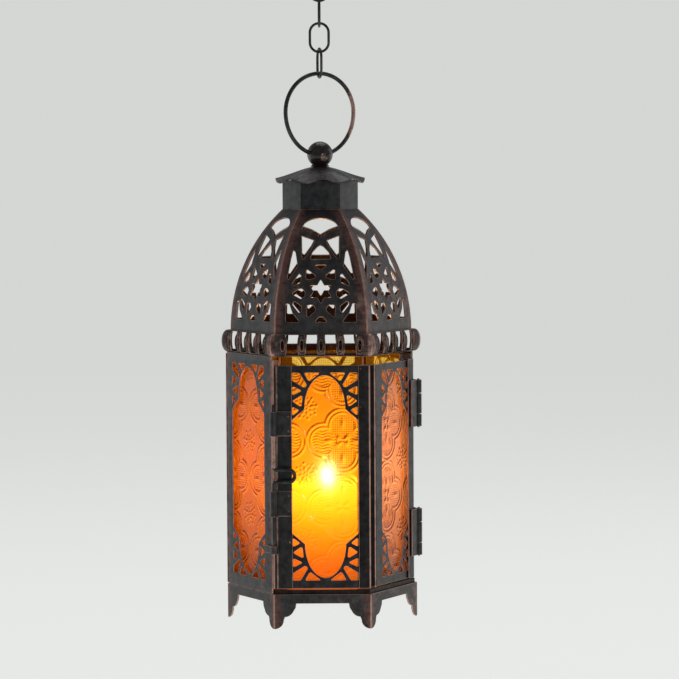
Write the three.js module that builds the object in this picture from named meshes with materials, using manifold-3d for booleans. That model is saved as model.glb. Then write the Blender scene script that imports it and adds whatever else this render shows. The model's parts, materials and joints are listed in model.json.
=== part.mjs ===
// Hexagonal hanging candle lantern: a folded sheet-metal body with fretwork windows and coloured glass,
// a two-leaf door with butt hinges and a sliding wire bolt, a slatted band, a pierced six-panel dome,
// and a ring with a short chain and hook.
//
// Millimetres, +Z up. The origin is on the lantern's axis at the bottom of the feet. The door's front leaf
// faces -Y, the hinges are at the +X corner. Pieces that repeat round the hexagon are built for the front
// side, whose outer face lies at y = -APOTHEM, and turned about Z by whole sixths.
import * as THREE from "three";
import { mergeVertices } from "three/addons/utils/BufferGeometryUtils.js";
import Module from "manifold-3d";

const wasm = await Module();
wasm.setup();

// Hexagon of the body
const BODY_RADIUS = 44;
const SIXTH = Math.PI / 3;
const COS30 = Math.cos(Math.PI / 6);
const TAN30 = Math.tan(Math.PI / 6);
const APOTHEM = BODY_RADIUS * COS30;
const HALF_SIDE = BODY_RADIUS / 2;

// Sheet, glass and clearances
const SHEET = 0.8;
const CHANNEL_SHEET = 0.6;
const GLASS = 1.9;
const GAP = 0.3;
const CUT_REACH = 60;

// Heights
const BASE_TOP = 15.7;
const TRAY_FLOOR = 13.6;
const TRAY_RIM_TOP = 17.6;
const PANEL_BOTTOM = 16.1;
const PANEL_TOP = 122.7;
const DOOR_BOTTOM = 18.3;
const DOOR_TOP = 119.2;
const BAND_BOTTOM = 123.1;
const BAND_TOP = 133.5;
const DOME_BOTTOM = 133;
const NECK_TOP = 201.5;
const BALL_HEIGHT = 213.8;
const RING_HEIGHT = 233;

// Fixed panels: the window is a little nearer the left post than the right one
const PANEL_WINDOW = { centre: -1, half: 15, bottom: 21, top: 119 };
const FLANGE_DEPTH = 4.2;
const GLASS_TAB = { width: 4, height: 5, bottoms: [30, 108] };
const FIXED_GLASS = { bottom: 18.4, top: 121 };
// The panel beside the hinges stops short of the corner, to leave room for the knuckles.
const PANEL_EDGE = GAP / 2 / COS30 + 0.05;
const HINGE_INSET = 2;

// Door: leaf windows, measured on each leaf from the middle of its side of the hexagon
const FRONT_WINDOW = { centre: 1.5, half: 14.9, bottom: 21.5, top: 116.3 };
const SIDE_WINDOW = { centre: 2.6, half: 12.3, bottom: 21.5, top: 116.3 };
const CHANNEL_DEPTH = 4.6;
const LATCH_STILE = { outer: -21.2, inner: -13.4, lip: -14.6 };
const HINGE_STILE = { inner: 14, outer: 20, lip: 15, above: 0.4 };
const DOOR_LEAF_LEFT = -18.3;
const FRONT_LEAF_RIGHT = 18.3;
const SIDE_LEAF_RIGHT = 16.9;
const POST_FRONT_INNER = 16.6;
const POST_BEND = 5;

// Dome: each panel is bent to an arc in the plane through the axis and the panel's middle
const DOME_ARC_RADIUS = 76.2;
const DOME_ARC_CENTRE = -34.4;
const DOME_ARC_LENGTH = 62.6;
const DOME_STEPS = 6;
const DOME_HALF_WIDTH = 26;

// Hinges and latch
const HINGE_X = 44.8;
const LEAF_SHEET = 0.7;
const KNUCKLE_RADIUS = 1.5;
const KNUCKLE_BORE = 0.75;
const HINGE_PIN_RADIUS = 0.62;
const HINGE_PIN_HEAD = 0.6;
const HINGE_LEAF_START = 15.4;
const HINGE_ARM = { before: 0.2, after: 0.95 };
const HINGES = {
  upper: { bottom: 88.2, lowerSplit: 94, upperSplit: 103.5, top: 109.75 },
  lower: { bottom: 28.4, lowerSplit: 34.2, upperSplit: 43.8, top: 50.1 },
};
const BOLT = { x: -21.6, y: -40.2, radius: 0.9, top: 102, bottom: 38.3 };
const HANDLE = { upper: 72.4, lower: 66.9, reach: 9.4 };
const BRACKET_BORE = 1.15;
const BRACKET_RADIUS = 1.75;
const BRACKETS = { upper: [87.6, 98.7], lower: [51.3, 62.9] };
const BRACKET_LEAF = [-20.9, -13.6];
const KEEPER = [34.4, 37.8];
const KEEPER_LEAF = [15.5, 22.5];

// Slatted band: four gaps and five narrow eye slots on each side
const BAND_EDGE_RADIUS = 42.9;
const BAND_CREST = { radius: 45.8, inset: 3.2 };
const BAND_HALF_WIDTH = 30;
const BAND_PITCH = 8.7;
const BAND_GAP = { half: 2.05, halfHeight: 3.7 };
const BAND_EYE = { half: 1, shoulder: 1.3, halfHeight: 3.1 };
const TOP_RING = { outer: 36.2, inner: 31.5, bottom: 123.4, top: 124.4 };

// Neck, cap and finial
const NECK_RADIUS = 17.5;
const CAP_RIM = 20.6;
const CAP_SURFACE = [[1.8, 208.3], [4.4, 208], [9, 206.5], [15, 204.2], [CAP_RIM, 202.1]];
const CAP_FLUTES = 8;
const CAP_FLUTE_HEIGHT = 1.45;
const CAP_FLUTE_TURN = THREE.MathUtils.degToRad(3.5);
const CAP_FLUTE_START = 0.2;
const BALL_RADIUS = 5.9;
const BALL_FOOT = { height: 208.65, radius: 3.9, socketDepth: 2.7 };
const BALL_START = -53;
const RING_BORE = 1.3;
const STUD = { radius: 1.4, bore: 1.7, bottom: 196.6, top: 211 };
const NUT = { radius: 3.2, bore: 1.6, bottom: 198, top: 200.4 };

// Ring and chain
const RING_RADIUS = 17.8;
const RING_DROP = 19.4;
const RING_WIRE = 0.95;
const RING_TURN = THREE.MathUtils.degToRad(29);
const RING_FLAT_HALF = 5.6;
const LINK_WIRE = 0.6;
const LINK_LENGTH = 14.3;
const LINK_WIDTH = 9.8;
const LINK_PLAY = 0.25;
const LINK_TURNS = [102, 0, 90, 0].map(THREE.MathUtils.degToRad);
const HOOK_WIRE = 0.9;
const HOOK_EYE_RADIUS = 4.2;
const HOOK_RADIUS = 7;

// Candle
const CANDLE_RADIUS = 23;
const CANDLE_TOP = 62.5;
const CANDLE_CHAMFER = 0.8;
const WICK_HOLE = { radius: 1.1, depth: 8 };
const WICK_RADIUS = 0.7;

// One corner of a window's fretwork: [distance from the window's middle line, distance from its end].
// The arch is a quarter of an ellipse, and the five small openings lie between it and the window's edge.
const ARCH = { half: 9.2, start: 1.6, spring: 16.9 };
const ARCH_STEPS = 5;
const SHOULDER = [14.9, 21.8];
const FRET_HALF = 14.9;
const FRETS = [
  [[2.5, 0.4], [9.3, 0.4], [6.8, 4.1]],
  [[11.4, 0.4], [14.7, 0.4], [14.7, 3.7], [9.6, 6.9], [8.5, 6.7], [8.2, 5.7]],
  [[10.3, 8.5], [14, 6.7], [14.7, 6.9], [14.7, 10.1]],
  [[10, 11], [10.8, 10.8], [14.6, 13.1], [11.3, 15.4], [10.5, 15.3]],
  [[11.5, 17.3], [14.7, 15.7], [14.7, 19.8]],
];

// The dome's fretwork: [distance from the panel's middle line, distance up the arc from its lower edge]
const STAR = { height: 19.6, points: 6, outer: 5.6, inner: 3.2 };
const DOME_ARCH = { foot: 46.3, spring: 51.2, half: 8.1, rise: 6.1 };
const DOME_MIDDLE_OPENINGS = [
  [[-4.8, 35], [4.8, 35], [1.2, 41.4], [0, 42.1], [-1.2, 41.4]],
  [[-3.2, 32.1], [0, 29.7], [3.2, 32.1]],
  [[-2.9, 5.6], [2.9, 5.6], [0.9, 7.9], [-0.9, 7.9]],
];
const DOME_SIDE_OPENINGS = [
  [[8.6, 47.2], [2.7, 44.6], [2.9, 43.2], [7.6, 34.9], [8.5, 35.8]],
  [[12.2, 39.6], [11.3, 38.6], [10.4, 31.5], [14.4, 25.3], [15.1, 25.4]],
  [[5.6, 29.8], [6.6, 29.6], [6.6, 25.4], [5, 25.1], [2.7, 25.9], [2.3, 27]],
  [[8.8, 27.2], [9.7, 27.9], [12.9, 23.2], [12.5, 22.2], [9, 23.8]],
  [[7, 19.3], [8.4, 20.9], [10.1, 20.6], [13.2, 18.6], [9, 16.2], [7.3, 17.4]],
  [[8.8, 12.9], [11.6, 15], [12.6, 14.6], [12.6, 13.4], [9.9, 9.9], [8.8, 10.4]],
  [[14.2, 13.9], [15.7, 13.9], [15.9, 5.6], [9.5, 5.6], [12.9, 9.9]],
  [[2.5, 11.8], [3.6, 13.4], [6.1, 13.3], [6.2, 8.2], [5.6, 8], [2.7, 10.6]],
];

// Materials
const metal = (color) => new THREE.MeshStandardMaterial({ color, roughness: 0.45, metalness: 0.85 });
const FRAME_METAL = 0x2b2422;
const DOOR_METAL = 0x262020;
const HARDWARE_METAL = 0x3a2f2c;
const WIRE_METAL = 0x30272a;
const glass = () =>
  new THREE.MeshStandardMaterial({
    color: 0xe07a1e,
    roughness: 0.15,
    metalness: 0,
    transparent: true,
    opacity: 0.55,
  });
const wax = () => new THREE.MeshStandardMaterial({ color: 0xf6e6b8, roughness: 0.6, metalness: 0 });
const cotton = () => new THREE.MeshStandardMaterial({ color: 0x2a2019, roughness: 0.95, metalness: 0 });

// A closed geometry as a solid that can be joined and cut.
function solid(geometry) {
  const bare = geometry.clone();
  bare.deleteAttribute("normal");
  bare.deleteAttribute("uv");
  const merged = mergeVertices(bare, 1e-4);
  return new wasm.Manifold(
    new wasm.Mesh({
      numProp: 3,
      vertProperties: merged.attributes.position.array,
      triVerts: new Uint32Array(merged.index.array),
    }),
  );
}

function geometryOf(body) {
  const mesh = body.getMesh();
  const geometry = new THREE.BufferGeometry();
  geometry.setAttribute("position", new THREE.BufferAttribute(mesh.vertProperties, 3));
  geometry.setIndex(new THREE.BufferAttribute(mesh.triVerts, 1));
  return geometry;
}

const joined = (bodies) => bodies.reduce((all, body) => all.add(body));

const outline = (points) => new THREE.Shape(points.map(([x, y]) => new THREE.Vector2(x, y)));

function withHoles(shape, holes) {
  shape.holes = holes.map((points) => new THREE.Path(points.map(([x, y]) => new THREE.Vector2(x, y))));
  return shape;
}

// A flat outline in (x, height) given thickness: its outer face lies at y = front, and it lies behind it.
function plate(shape, front, thickness) {
  const geometry = new THREE.ExtrudeGeometry(shape, { depth: thickness, bevelEnabled: false });
  return geometry.rotateX(Math.PI / 2).translate(0, front + thickness, 0);
}

// A plan outline in (x, y) raised from one height to another.
function column(shape, bottom, top) {
  const geometry = new THREE.ExtrudeGeometry(shape, { depth: top - bottom, bevelEnabled: false });
  return geometry.translate(0, 0, bottom);
}

// A flat sheet in (x, height) with openings cut through it.
const pierced = (points, openings, front, thickness) =>
  solid(plate(outline(points), front, thickness)).subtract(
    solid(plate(openings.map(outline), front - 1, thickness + 2)),
  );

const rectangle = (x0, x1, y0, y1) => [[x0, y0], [x1, y0], [x1, y1], [x0, y1]];

function arcPoints(cx, cy, radiusX, radiusY, from, to, steps) {
  return Array.from({ length: steps + 1 }, (_, i) => {
    const angle = THREE.MathUtils.degToRad(from + ((to - from) * i) / steps);
    return [cx + radiusX * Math.cos(angle), cy + radiusY * Math.sin(angle)];
  });
}

const hexagon = (radius) => arcPoints(0, 0, radius, radius, 0, 300, 5);

// Lies along the corner's bisector, which leans 30 degrees in from the front face's normal.
const leanIn = (x, depth) => [x - Math.sign(x) * depth * TAN30, -APOTHEM + depth];

// Window openings: the clear middle with its arched ends, and the small openings in the four corners.
function windowOpenings({ centre, half, bottom, top }) {
  const narrow = half / FRET_HALF;
  const rise = ARCH.spring - ARCH.start;
  const quarter = arcPoints(0, ARCH.spring, ARCH.half, rise, 0, -90, ARCH_STEPS);
  const place = (sideways, end) => ([across, fromEnd]) => [
    centre + sideways * across * narrow,
    end > 0 ? top - fromEnd : bottom + fromEnd,
  ];
  const contour = [];
  for (const [sideways, end] of [[1, -1], [1, 1], [-1, 1], [-1, -1]]) {
    const run = [SHOULDER, ...quarter].map(place(sideways, end));
    if (sideways * end > 0) contour.push(...run);
    else contour.push(...run.slice(0, -1).reverse());
  }
  const corners = [1, -1].flatMap((sideways) =>
    [1, -1].flatMap((end) => FRETS.map((fret) => fret.map(place(sideways, end)))),
  );
  return [contour, ...corners];
}

// A strip running back along a corner's bisector, from the front face to a depth.
const leaningStrip = (x, thickness, depth, from = 0) =>
  outline([
    leanIn(x, from),
    leanIn(x - (Math.sign(x) * thickness) / COS30, from),
    leanIn(x - (Math.sign(x) * thickness) / COS30, depth),
    leanIn(x, depth),
  ]);

// A fixed side of the body: a pierced sheet with side flanges, and four tabs that hold the glass.
function fixedPanel(leftInset, rightInset) {
  const left = -HALF_SIDE + leftInset;
  const right = HALF_SIDE - rightInset;
  const face = rectangle(left, right, PANEL_BOTTOM, PANEL_TOP);
  const flangeBottom = TRAY_RIM_TOP + 2 * GAP;
  const flangeTop = PANEL_TOP - 1;
  const pieces = [pierced(face, windowOpenings(PANEL_WINDOW), -APOTHEM, SHEET)];
  const tabFront = FLANGE_DEPTH - SHEET;
  for (const edge of [left, right]) {
    pieces.push(solid(column(leaningStrip(edge, SHEET, FLANGE_DEPTH), flangeBottom, flangeTop)));
    const [tabOuter] = leanIn(edge, FLANGE_DEPTH);
    const inner = tabOuter - Math.sign(edge) * GLASS_TAB.width;
    const tab = rectangle(
      Math.min(tabOuter, inner),
      Math.max(tabOuter, inner),
      -APOTHEM + tabFront,
      -APOTHEM + FLANGE_DEPTH,
    );
    for (const height of GLASS_TAB.bottoms) {
      pieces.push(solid(column(outline(tab), height, height + GLASS_TAB.height)));
    }
  }
  return geometryOf(joined(pieces).intersect(solid(column(sideWedge(GAP), 0, NECK_TOP))));
}

function fixedGlass(leftInset, rightInset) {
  const front = -APOTHEM + SHEET + GAP;
  const back = SHEET + GAP + GLASS;
  const side = HALF_SIDE - back * TAN30 - SHEET / COS30 - GAP;
  const { bottom, top } = FIXED_GLASS;
  const shape = outline(rectangle(-side + leftInset, side - rightInset, bottom, top));
  return plate(shape, front, GLASS);
}

// Door stiles are folded channels: an outer strip, a web along the corner and an inner lip.
const stileShape = (outer, inner, lip) => {
  const sign = Math.sign(outer);
  const web = CHANNEL_SHEET / COS30;
  return outline([
    leanIn(outer, 0),
    [inner, -APOTHEM],
    [inner, -APOTHEM + CHANNEL_SHEET],
    leanIn(outer - sign * web, CHANNEL_SHEET),
    leanIn(outer - sign * web, CHANNEL_DEPTH - CHANNEL_SHEET),
    [lip, -APOTHEM + CHANNEL_DEPTH - CHANNEL_SHEET],
    [lip, -APOTHEM + CHANNEL_DEPTH],
    leanIn(outer, CHANNEL_DEPTH),
  ]);
};

// The door's sheets and panes slide between the outer strips and the inner lips of the channels.
const DOOR_FRET_FRONT = -APOTHEM + CHANNEL_SHEET + GAP;
const DOOR_GLASS_FRONT = DOOR_FRET_FRONT + CHANNEL_SHEET + GAP;

function doorFretwork(left, right, window) {
  const face = rectangle(left, right, DOOR_BOTTOM, DOOR_TOP);
  return geometryOf(pierced(face, windowOpenings(window), DOOR_FRET_FRONT, CHANNEL_SHEET));
}

const doorGlass = (left, right) =>
  plate(outline(rectangle(left, right, DOOR_BOTTOM + 0.4, DOOR_TOP - 0.4)), DOOR_GLASS_FRONT, GLASS);

// The post where the door's two leaves meet: an outer and an inner strip round the corner, joined by a web.
// It is drawn with the corner's bisector along +X and turned into place.
function cornerPost() {
  const corner = (offset) => BODY_RADIUS - offset / COS30;
  const along = (offset, run, side) => [corner(offset) - run / 2, side * run * COS30];
  const bentStrip = (outerOffset, innerOffset, run) => {
    const centre = corner(outerOffset) - POST_BEND / COS30;
    const innerBend = POST_BEND - (innerOffset - outerOffset);
    const arc = arcPoints(centre, 0, POST_BEND, POST_BEND, -30, 30, 4);
    const innerArc = arcPoints(centre, 0, innerBend, innerBend, 30, -30, 4);
    return outline([
      along(outerOffset, run, -1),
      ...arc,
      along(outerOffset, run, 1),
      along(innerOffset, run, 1),
      ...innerArc,
      along(innerOffset, run, -1),
    ]);
  };
  const run = HALF_SIDE - POST_FRONT_INNER;
  const outer = bentStrip(0, CHANNEL_SHEET, run);
  const innerFrom = CHANNEL_DEPTH - CHANNEL_SHEET;
  const inner = bentStrip(innerFrom, CHANNEL_DEPTH, run - 1);
  const webInner = corner(CHANNEL_DEPTH) - CHANNEL_SHEET;
  const webOuter = corner(0) - 2 * CHANNEL_SHEET;
  const web = outline(rectangle(webInner, webOuter, -CHANNEL_SHEET / 2, CHANNEL_SHEET / 2));
  return geometryOf(
    joined([outer, inner, web].map((shape) => solid(column(shape, DOOR_BOTTOM, DOOR_TOP)))),
  );
}

// Base: a hexagonal skirt whose lower edge is cut into a rounded foot at each corner.
function baseSkirt() {
  const ring = withHoles(outline(hexagon(BODY_RADIUS)), [hexagon(BODY_RADIUS - SHEET / COS30)]);
  let skirt = solid(column(ring, 0, BASE_TOP));
  const half = [
    [11.9, 11.5],
    [12.2, 9.6],
    ...arcPoints(17.2, 9.9, 4.4, 4.5, 205, 268, 3),
    ...arcPoints(21.7, 4, 4.1, 4, 180, 252, 4),
    [20.4, -1],
  ];
  const cut = outline([...half, ...half.map(([x, z]) => [-x, z]).reverse()]);
  for (let side = 0; side < 6; side += 1) {
    skirt = skirt.subtract(solid(plate(cut, -APOTHEM - 1, SHEET + 2).rotateZ(side * SIXTH)));
  }
  return geometryOf(skirt);
}

// Tray: the lantern's floor, with an upstanding rim just inside the skirt and the panels.
function floorTray() {
  const radius = BODY_RADIUS - (SHEET + GAP) / COS30;
  const floor = solid(column(outline(hexagon(radius)), TRAY_FLOOR, TRAY_FLOOR + SHEET));
  const rim = withHoles(outline(hexagon(radius)), [hexagon(radius - SHEET / COS30)]);
  return geometryOf(floor.add(solid(column(rim, TRAY_FLOOR, TRAY_RIM_TOP))));
}

function hexRing(outerRadius, innerRadius, bottom, top) {
  return column(withHoles(outline(hexagon(outerRadius)), [hexagon(innerRadius)]), bottom, top);
}

// The wedge of plan that one side of the hexagon may fill, with half a gap left at each bisector.
function sideWedge(gap) {
  const apex = -gap / 2 / Math.sin(Math.PI / 6);
  const far = apex - CUT_REACH;
  return outline([[0, apex], [-CUT_REACH * TAN30, far], [CUT_REACH * TAN30, far]]);
}

// A sheet bent only up and down: its profile in (y, height) is run sideways along x.
function bentSheet(profile, halfWidth) {
  const geometry = new THREE.ExtrudeGeometry(outline(profile), {
    depth: 2 * halfWidth,
    bevelEnabled: false,
  });
  geometry.applyMatrix4(
    new THREE.Matrix4().makeBasis(
      new THREE.Vector3(0, 1, 0),
      new THREE.Vector3(0, 0, 1),
      new THREE.Vector3(1, 0, 0),
    ),
  );
  return geometry.translate(-halfWidth, 0, 0);
}

// The band bulges out between the body and the dome.
function slatBand() {
  const rows = [
    [BAND_EDGE_RADIUS, BAND_BOTTOM],
    [BAND_CREST.radius, BAND_BOTTOM + BAND_CREST.inset],
    [BAND_CREST.radius, BAND_TOP - BAND_CREST.inset],
    [BAND_EDGE_RADIUS, BAND_TOP],
  ];
  const profile = [
    ...rows.map(([radius, z]) => [-radius * COS30, z]),
    ...rows.map(([radius, z]) => [-radius * COS30 + SHEET, z]).reverse(),
  ];
  const wall = solid(bentSheet(profile, BAND_HALF_WIDTH)).intersect(
    solid(column(sideWedge(0), BAND_BOTTOM, BAND_TOP)),
  );
  const middle = (BAND_BOTTOM + BAND_TOP) / 2;
  const gaps = [-1.5, -0.5, 0.5, 1.5].map((step) => {
    const x = step * BAND_PITCH;
    const { half, halfHeight } = BAND_GAP;
    return rectangle(x - half, x + half, middle - halfHeight, middle + halfHeight);
  });
  const eyes = [-2, -1, 0, 1, 2].map((step) => {
    const x = step * BAND_PITCH;
    const { half, shoulder, halfHeight } = BAND_EYE;
    return [
      [x, middle - halfHeight],
      [x + half, middle - shoulder],
      [x + half, middle + shoulder],
      [x, middle + halfHeight],
      [x - half, middle + shoulder],
      [x - half, middle - shoulder],
    ];
  });
  const cutters = [...gaps, ...eyes].map(outline);
  const side = wall.subtract(solid(plate(cutters, -CUT_REACH, CUT_REACH)));
  const sides = Array.from({ length: 6 }, (_, i) => solid(geometryOf(side).rotateZ(i * SIXTH)));
  return geometryOf(joined(sides));
}

// Where a distance up the dome's arc lies: [corner radius, height].
function domeAt(distance) {
  const angle = distance / DOME_ARC_RADIUS;
  return [
    DOME_ARC_CENTRE + DOME_ARC_RADIUS * Math.cos(angle),
    DOME_BOTTOM + DOME_ARC_RADIUS * Math.sin(angle),
  ];
}

function domeOpenings() {
  const arch = arcPoints(0, DOME_ARCH.spring, DOME_ARCH.half, DOME_ARCH.rise, 0, 180, 8);
  const star = Array.from({ length: 2 * STAR.points }, (_, i) => {
    const radius = i % 2 ? STAR.inner : STAR.outer;
    const angle = (i * Math.PI) / STAR.points;
    return [radius * Math.sin(angle), STAR.height + radius * Math.cos(angle)];
  });
  const mirrored = DOME_SIDE_OPENINGS.map((points) => points.map(([x, d]) => [-x, d]));
  const all = [
    [...arch, [0, DOME_ARCH.foot]],
    star,
    ...DOME_MIDDLE_OPENINGS,
    ...DOME_SIDE_OPENINGS,
    ...mirrored,
  ];
  return all.map((points) => points.map(([x, distance]) => [x, domeAt(distance)[1]]));
}

function domePanel() {
  const rows = Array.from({ length: DOME_STEPS + 1 }, (_, i) =>
    domeAt((DOME_ARC_LENGTH * i) / DOME_STEPS),
  );
  const inward = rows.map(([radius, z], i) => {
    const angle = (DOME_ARC_LENGTH * i) / DOME_STEPS / DOME_ARC_RADIUS;
    return [-radius * COS30 + SHEET * Math.cos(angle), z - (i ? SHEET * Math.sin(angle) : 0)];
  });
  const profile = [...rows.map(([radius, z]) => [-radius * COS30, z]), ...inward.reverse()];
  const wall = solid(bentSheet(profile, DOME_HALF_WIDTH)).intersect(
    solid(column(sideWedge(GAP), DOME_BOTTOM - 5, NECK_TOP)),
  );
  return geometryOf(wall.subtract(solid(plate(domeOpenings().map(outline), -CUT_REACH, CUT_REACH))));
}

// Cap: a shallow cone whose flutes fade towards the middle.
function topCap() {
  const under = CAP_SURFACE.map(([r, z]) => [r, z - SHEET]).reverse();
  const profile = [...CAP_SURFACE, ...under, CAP_SURFACE[0]].map(([r, z]) => new THREE.Vector2(r, z));
  const geometry = new THREE.LatheGeometry(profile.reverse(), 5 * CAP_FLUTES);
  geometry.rotateX(Math.PI / 2);
  const position = geometry.attributes.position;
  for (let i = 0; i < position.count; i += 1) {
    const x = position.getX(i);
    const y = position.getY(i);
    const reach = Math.hypot(x, y) / CAP_RIM;
    const flute = Math.cos(CAP_FLUTES * (Math.atan2(y, x) - CAP_FLUTE_TURN));
    const fade = Math.max(0, reach - CAP_FLUTE_START) ** 2;
    position.setZ(i, position.getZ(i) + CAP_FLUTE_HEIGHT * flute * fade);
  }
  return geometry;
}

// Ball finial on a flared foot, bored across for the ring and from below for its stud.
function finialBall() {
  const { height: foot, radius: footRadius, socketDepth } = BALL_FOOT;
  const ball = arcPoints(0, BALL_HEIGHT, BALL_RADIUS, BALL_RADIUS, BALL_START, 90, 8).slice(0, -1);
  const profile = [[0, foot], [footRadius, foot], ...ball, [0, BALL_HEIGHT + BALL_RADIUS]];
  const turned = new THREE.LatheGeometry(profile.map(([r, z]) => new THREE.Vector2(r, z)), 20);
  turned.rotateX(Math.PI / 2);
  const cross = new THREE.CylinderGeometry(RING_BORE, RING_BORE, 20, 12)
    .rotateZ(Math.PI / 2)
    .rotateZ(RING_TURN)
    .translate(0, 0, ringBottom());
  const socket = rod(STUD.bore, foot - 1, foot + socketDepth);
  return geometryOf(solid(turned).subtract(solid(cross)).subtract(solid(socket)));
}

const rod = (radius, bottom, top, sides = 12) =>
  column(outline(arcPoints(0, 0, radius, radius, 0, 360 - 360 / sides, sides - 1)), bottom, top);

const finialStud = () => rod(STUD.radius, STUD.bottom, STUD.top);

function finialNut() {
  const bore = arcPoints(0, 0, NUT.bore, NUT.bore, 0, 330, 11);
  return column(withHoles(outline(hexagon(NUT.radius)), [bore]), NUT.bottom, NUT.top);
}

// Height of the ring's wire where it runs straight through the ball.
function ringBottom() {
  return RING_HEIGHT - RING_DROP * Math.sqrt(1 - (RING_FLAT_HALF / RING_RADIUS) ** 2);
}

// Ring: round above, a little longer below, and straight where it passes through the ball.
function hangingRing() {
  const geometry = new THREE.TorusGeometry(RING_RADIUS, RING_WIRE, 8, 36);
  geometry.rotateX(Math.PI / 2);
  const position = geometry.attributes.position;
  for (let i = 0; i < position.count; i += 1) {
    const x = position.getX(i);
    const z = position.getZ(i);
    const angle = Math.atan2(z, x);
    const middle = RING_RADIUS * Math.sin(angle);
    const stretched = middle < 0 ? (middle * RING_DROP) / RING_RADIUS : middle;
    const held = Math.max(stretched, ringBottom() - RING_HEIGHT);
    position.setZ(i, z - middle + held);
  }
  return geometry.translate(0, 0, RING_HEIGHT).rotateZ(RING_TURN);
}

// Chain link standing upright with its lowest point at z = 0, in the XZ plane: a ring pulled apart at
// mid height, where its two straight shanks are.
function chainLink() {
  const arc = LINK_WIDTH / 2 - LINK_WIRE;
  const straight = LINK_LENGTH - LINK_WIDTH;
  const geometry = new THREE.TorusGeometry(arc, LINK_WIRE, 6, 16);
  geometry.rotateX(Math.PI / 2);
  const position = geometry.attributes.position;
  for (let i = 0; i < position.count; i += 1) {
    const z = position.getZ(i);
    if (Math.abs(z) > 1e-6) position.setZ(i, z + (Math.sign(z) * straight) / 2);
  }
  return geometry.translate(0, 0, LINK_LENGTH / 2);
}

// A wire that goes exactly through the points it is given.
class WirePath extends THREE.Curve {
  constructor(points) {
    super();
    this.points = points;
  }
  getPoint(t) {
    const at = t * (this.points.length - 1);
    const i = Math.min(Math.floor(at + 1e-9), this.points.length - 2);
    return this.points[i].clone().lerp(this.points[i + 1], at - i);
  }
  getPointAt(t) {
    return this.getPoint(t);
  }
  getTangentAt(t) {
    const last = this.points.length - 1;
    const i = Math.round(t * last);
    const before = this.points[Math.max(i - 1, 0)];
    const after = this.points[Math.min(i + 1, last)];
    return after.clone().sub(before).normalize();
  }
}

function wire(points, radius, sides = 8) {
  const section = outline(arcPoints(0, 0, radius, radius, 0, 360 - 360 / sides, sides - 1));
  return new THREE.ExtrudeGeometry(section, {
    steps: points.length - 1,
    bevelEnabled: false,
    extrudePath: new WirePath(points),
  });
}

// Bolt: one wire, bent into a hairpin handle half way down.
function latchBolt() {
  const bend = 1.4;
  const tip = (HANDLE.upper - HANDLE.lower) / 2;
  const end = HANDLE.reach - tip;
  const points = [
    [0, BOLT.top],
    ...arcPoints(bend, HANDLE.upper + bend, bend, bend, 180, 270, 3),
    ...arcPoints(end, HANDLE.lower + tip, tip, tip, 90, -90, 6),
    ...arcPoints(bend, HANDLE.lower - bend, bend, bend, 90, 180, 3),
    [0, BOLT.bottom],
  ];
  return wire(points.map(([x, z]) => new THREE.Vector3(BOLT.x + x, BOLT.y, z)), BOLT.radius);
}

// A tube round an upright line at (x, y), from one height to another.
function knuckle(x, y, radius, bore, bottom, top) {
  const ring = withHoles(outline(arcPoints(x, y, radius, radius, 0, 337.5, 15)), [
    arcPoints(x, y, bore, bore, 0, 330, 11),
  ]);
  return solid(column(ring, bottom, top));
}

// Leaves of the hardware lie just proud of the body's faces.
const LEAF_FRONT = -APOTHEM - GAP - LEAF_SHEET;

// Bolt bracket: a leaf on the door's latch stile, rolled round the bolt.
function latchBracket([bottom, top]) {
  const leaf = outline(rectangle(...BRACKET_LEAF, LEAF_FRONT, LEAF_FRONT + LEAF_SHEET));
  return geometryOf(
    knuckle(BOLT.x, BOLT.y, BRACKET_RADIUS, BRACKET_BORE, bottom, top).add(
      solid(column(leaf, bottom, top)),
    ),
  );
}

// Keeper: a leaf on the fixed left panel with an eye that the bolt's tip drops into.
function latchKeeper() {
  const [bottom, top] = KEEPER;
  const plan = outline(rectangle(...KEEPER_LEAF, LEAF_FRONT, LEAF_FRONT + LEAF_SHEET));
  const leaf = column(plan, bottom, top).rotateZ(-SIXTH);
  return geometryOf(
    knuckle(BOLT.x, BOLT.y, BRACKET_RADIUS, BRACKET_BORE, bottom, top).add(solid(leaf)),
  );
}

// Hinge leaf: a flat leaf on the side next to the corner, with arms that carry its knuckles.
function hingeLeaf(hinge, isDoor) {
  const play = GAP / 2;
  const leafEnd = HALF_SIDE + 0.4 - KNUCKLE_RADIUS - GAP;
  const spans = isDoor
    ? [[hinge.lowerSplit + play, hinge.upperSplit - play]]
    : [[hinge.bottom, hinge.lowerSplit - play], [hinge.upperSplit + play, hinge.top]];
  const turn = isDoor ? SIXTH : 2 * SIXTH;
  const plan = (from, to) =>
    isDoor
      ? rectangle(from, to, LEAF_FRONT, LEAF_FRONT + LEAF_SHEET)
      : rectangle(-to, -from, LEAF_FRONT, LEAF_FRONT + LEAF_SHEET);
  const flat = (from, to, bottom, top) =>
    solid(column(outline(plan(from, to)), bottom, top).rotateZ(turn));
  const arms = spans.flatMap(([bottom, top]) => [
    flat(leafEnd - HINGE_ARM.before, leafEnd + HINGE_ARM.after, bottom, top),
    knuckle(HINGE_X, 0, KNUCKLE_RADIUS, KNUCKLE_BORE, bottom, top),
  ]);
  return geometryOf(joined([flat(HINGE_LEAF_START, leafEnd, hinge.bottom, hinge.top), ...arms]));
}

const hingePin = (hinge) =>
  rod(HINGE_PIN_RADIUS, hinge.bottom - HINGE_PIN_HEAD, hinge.top + HINGE_PIN_HEAD).translate(
    HINGE_X,
    0,
    0,
  );

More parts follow.
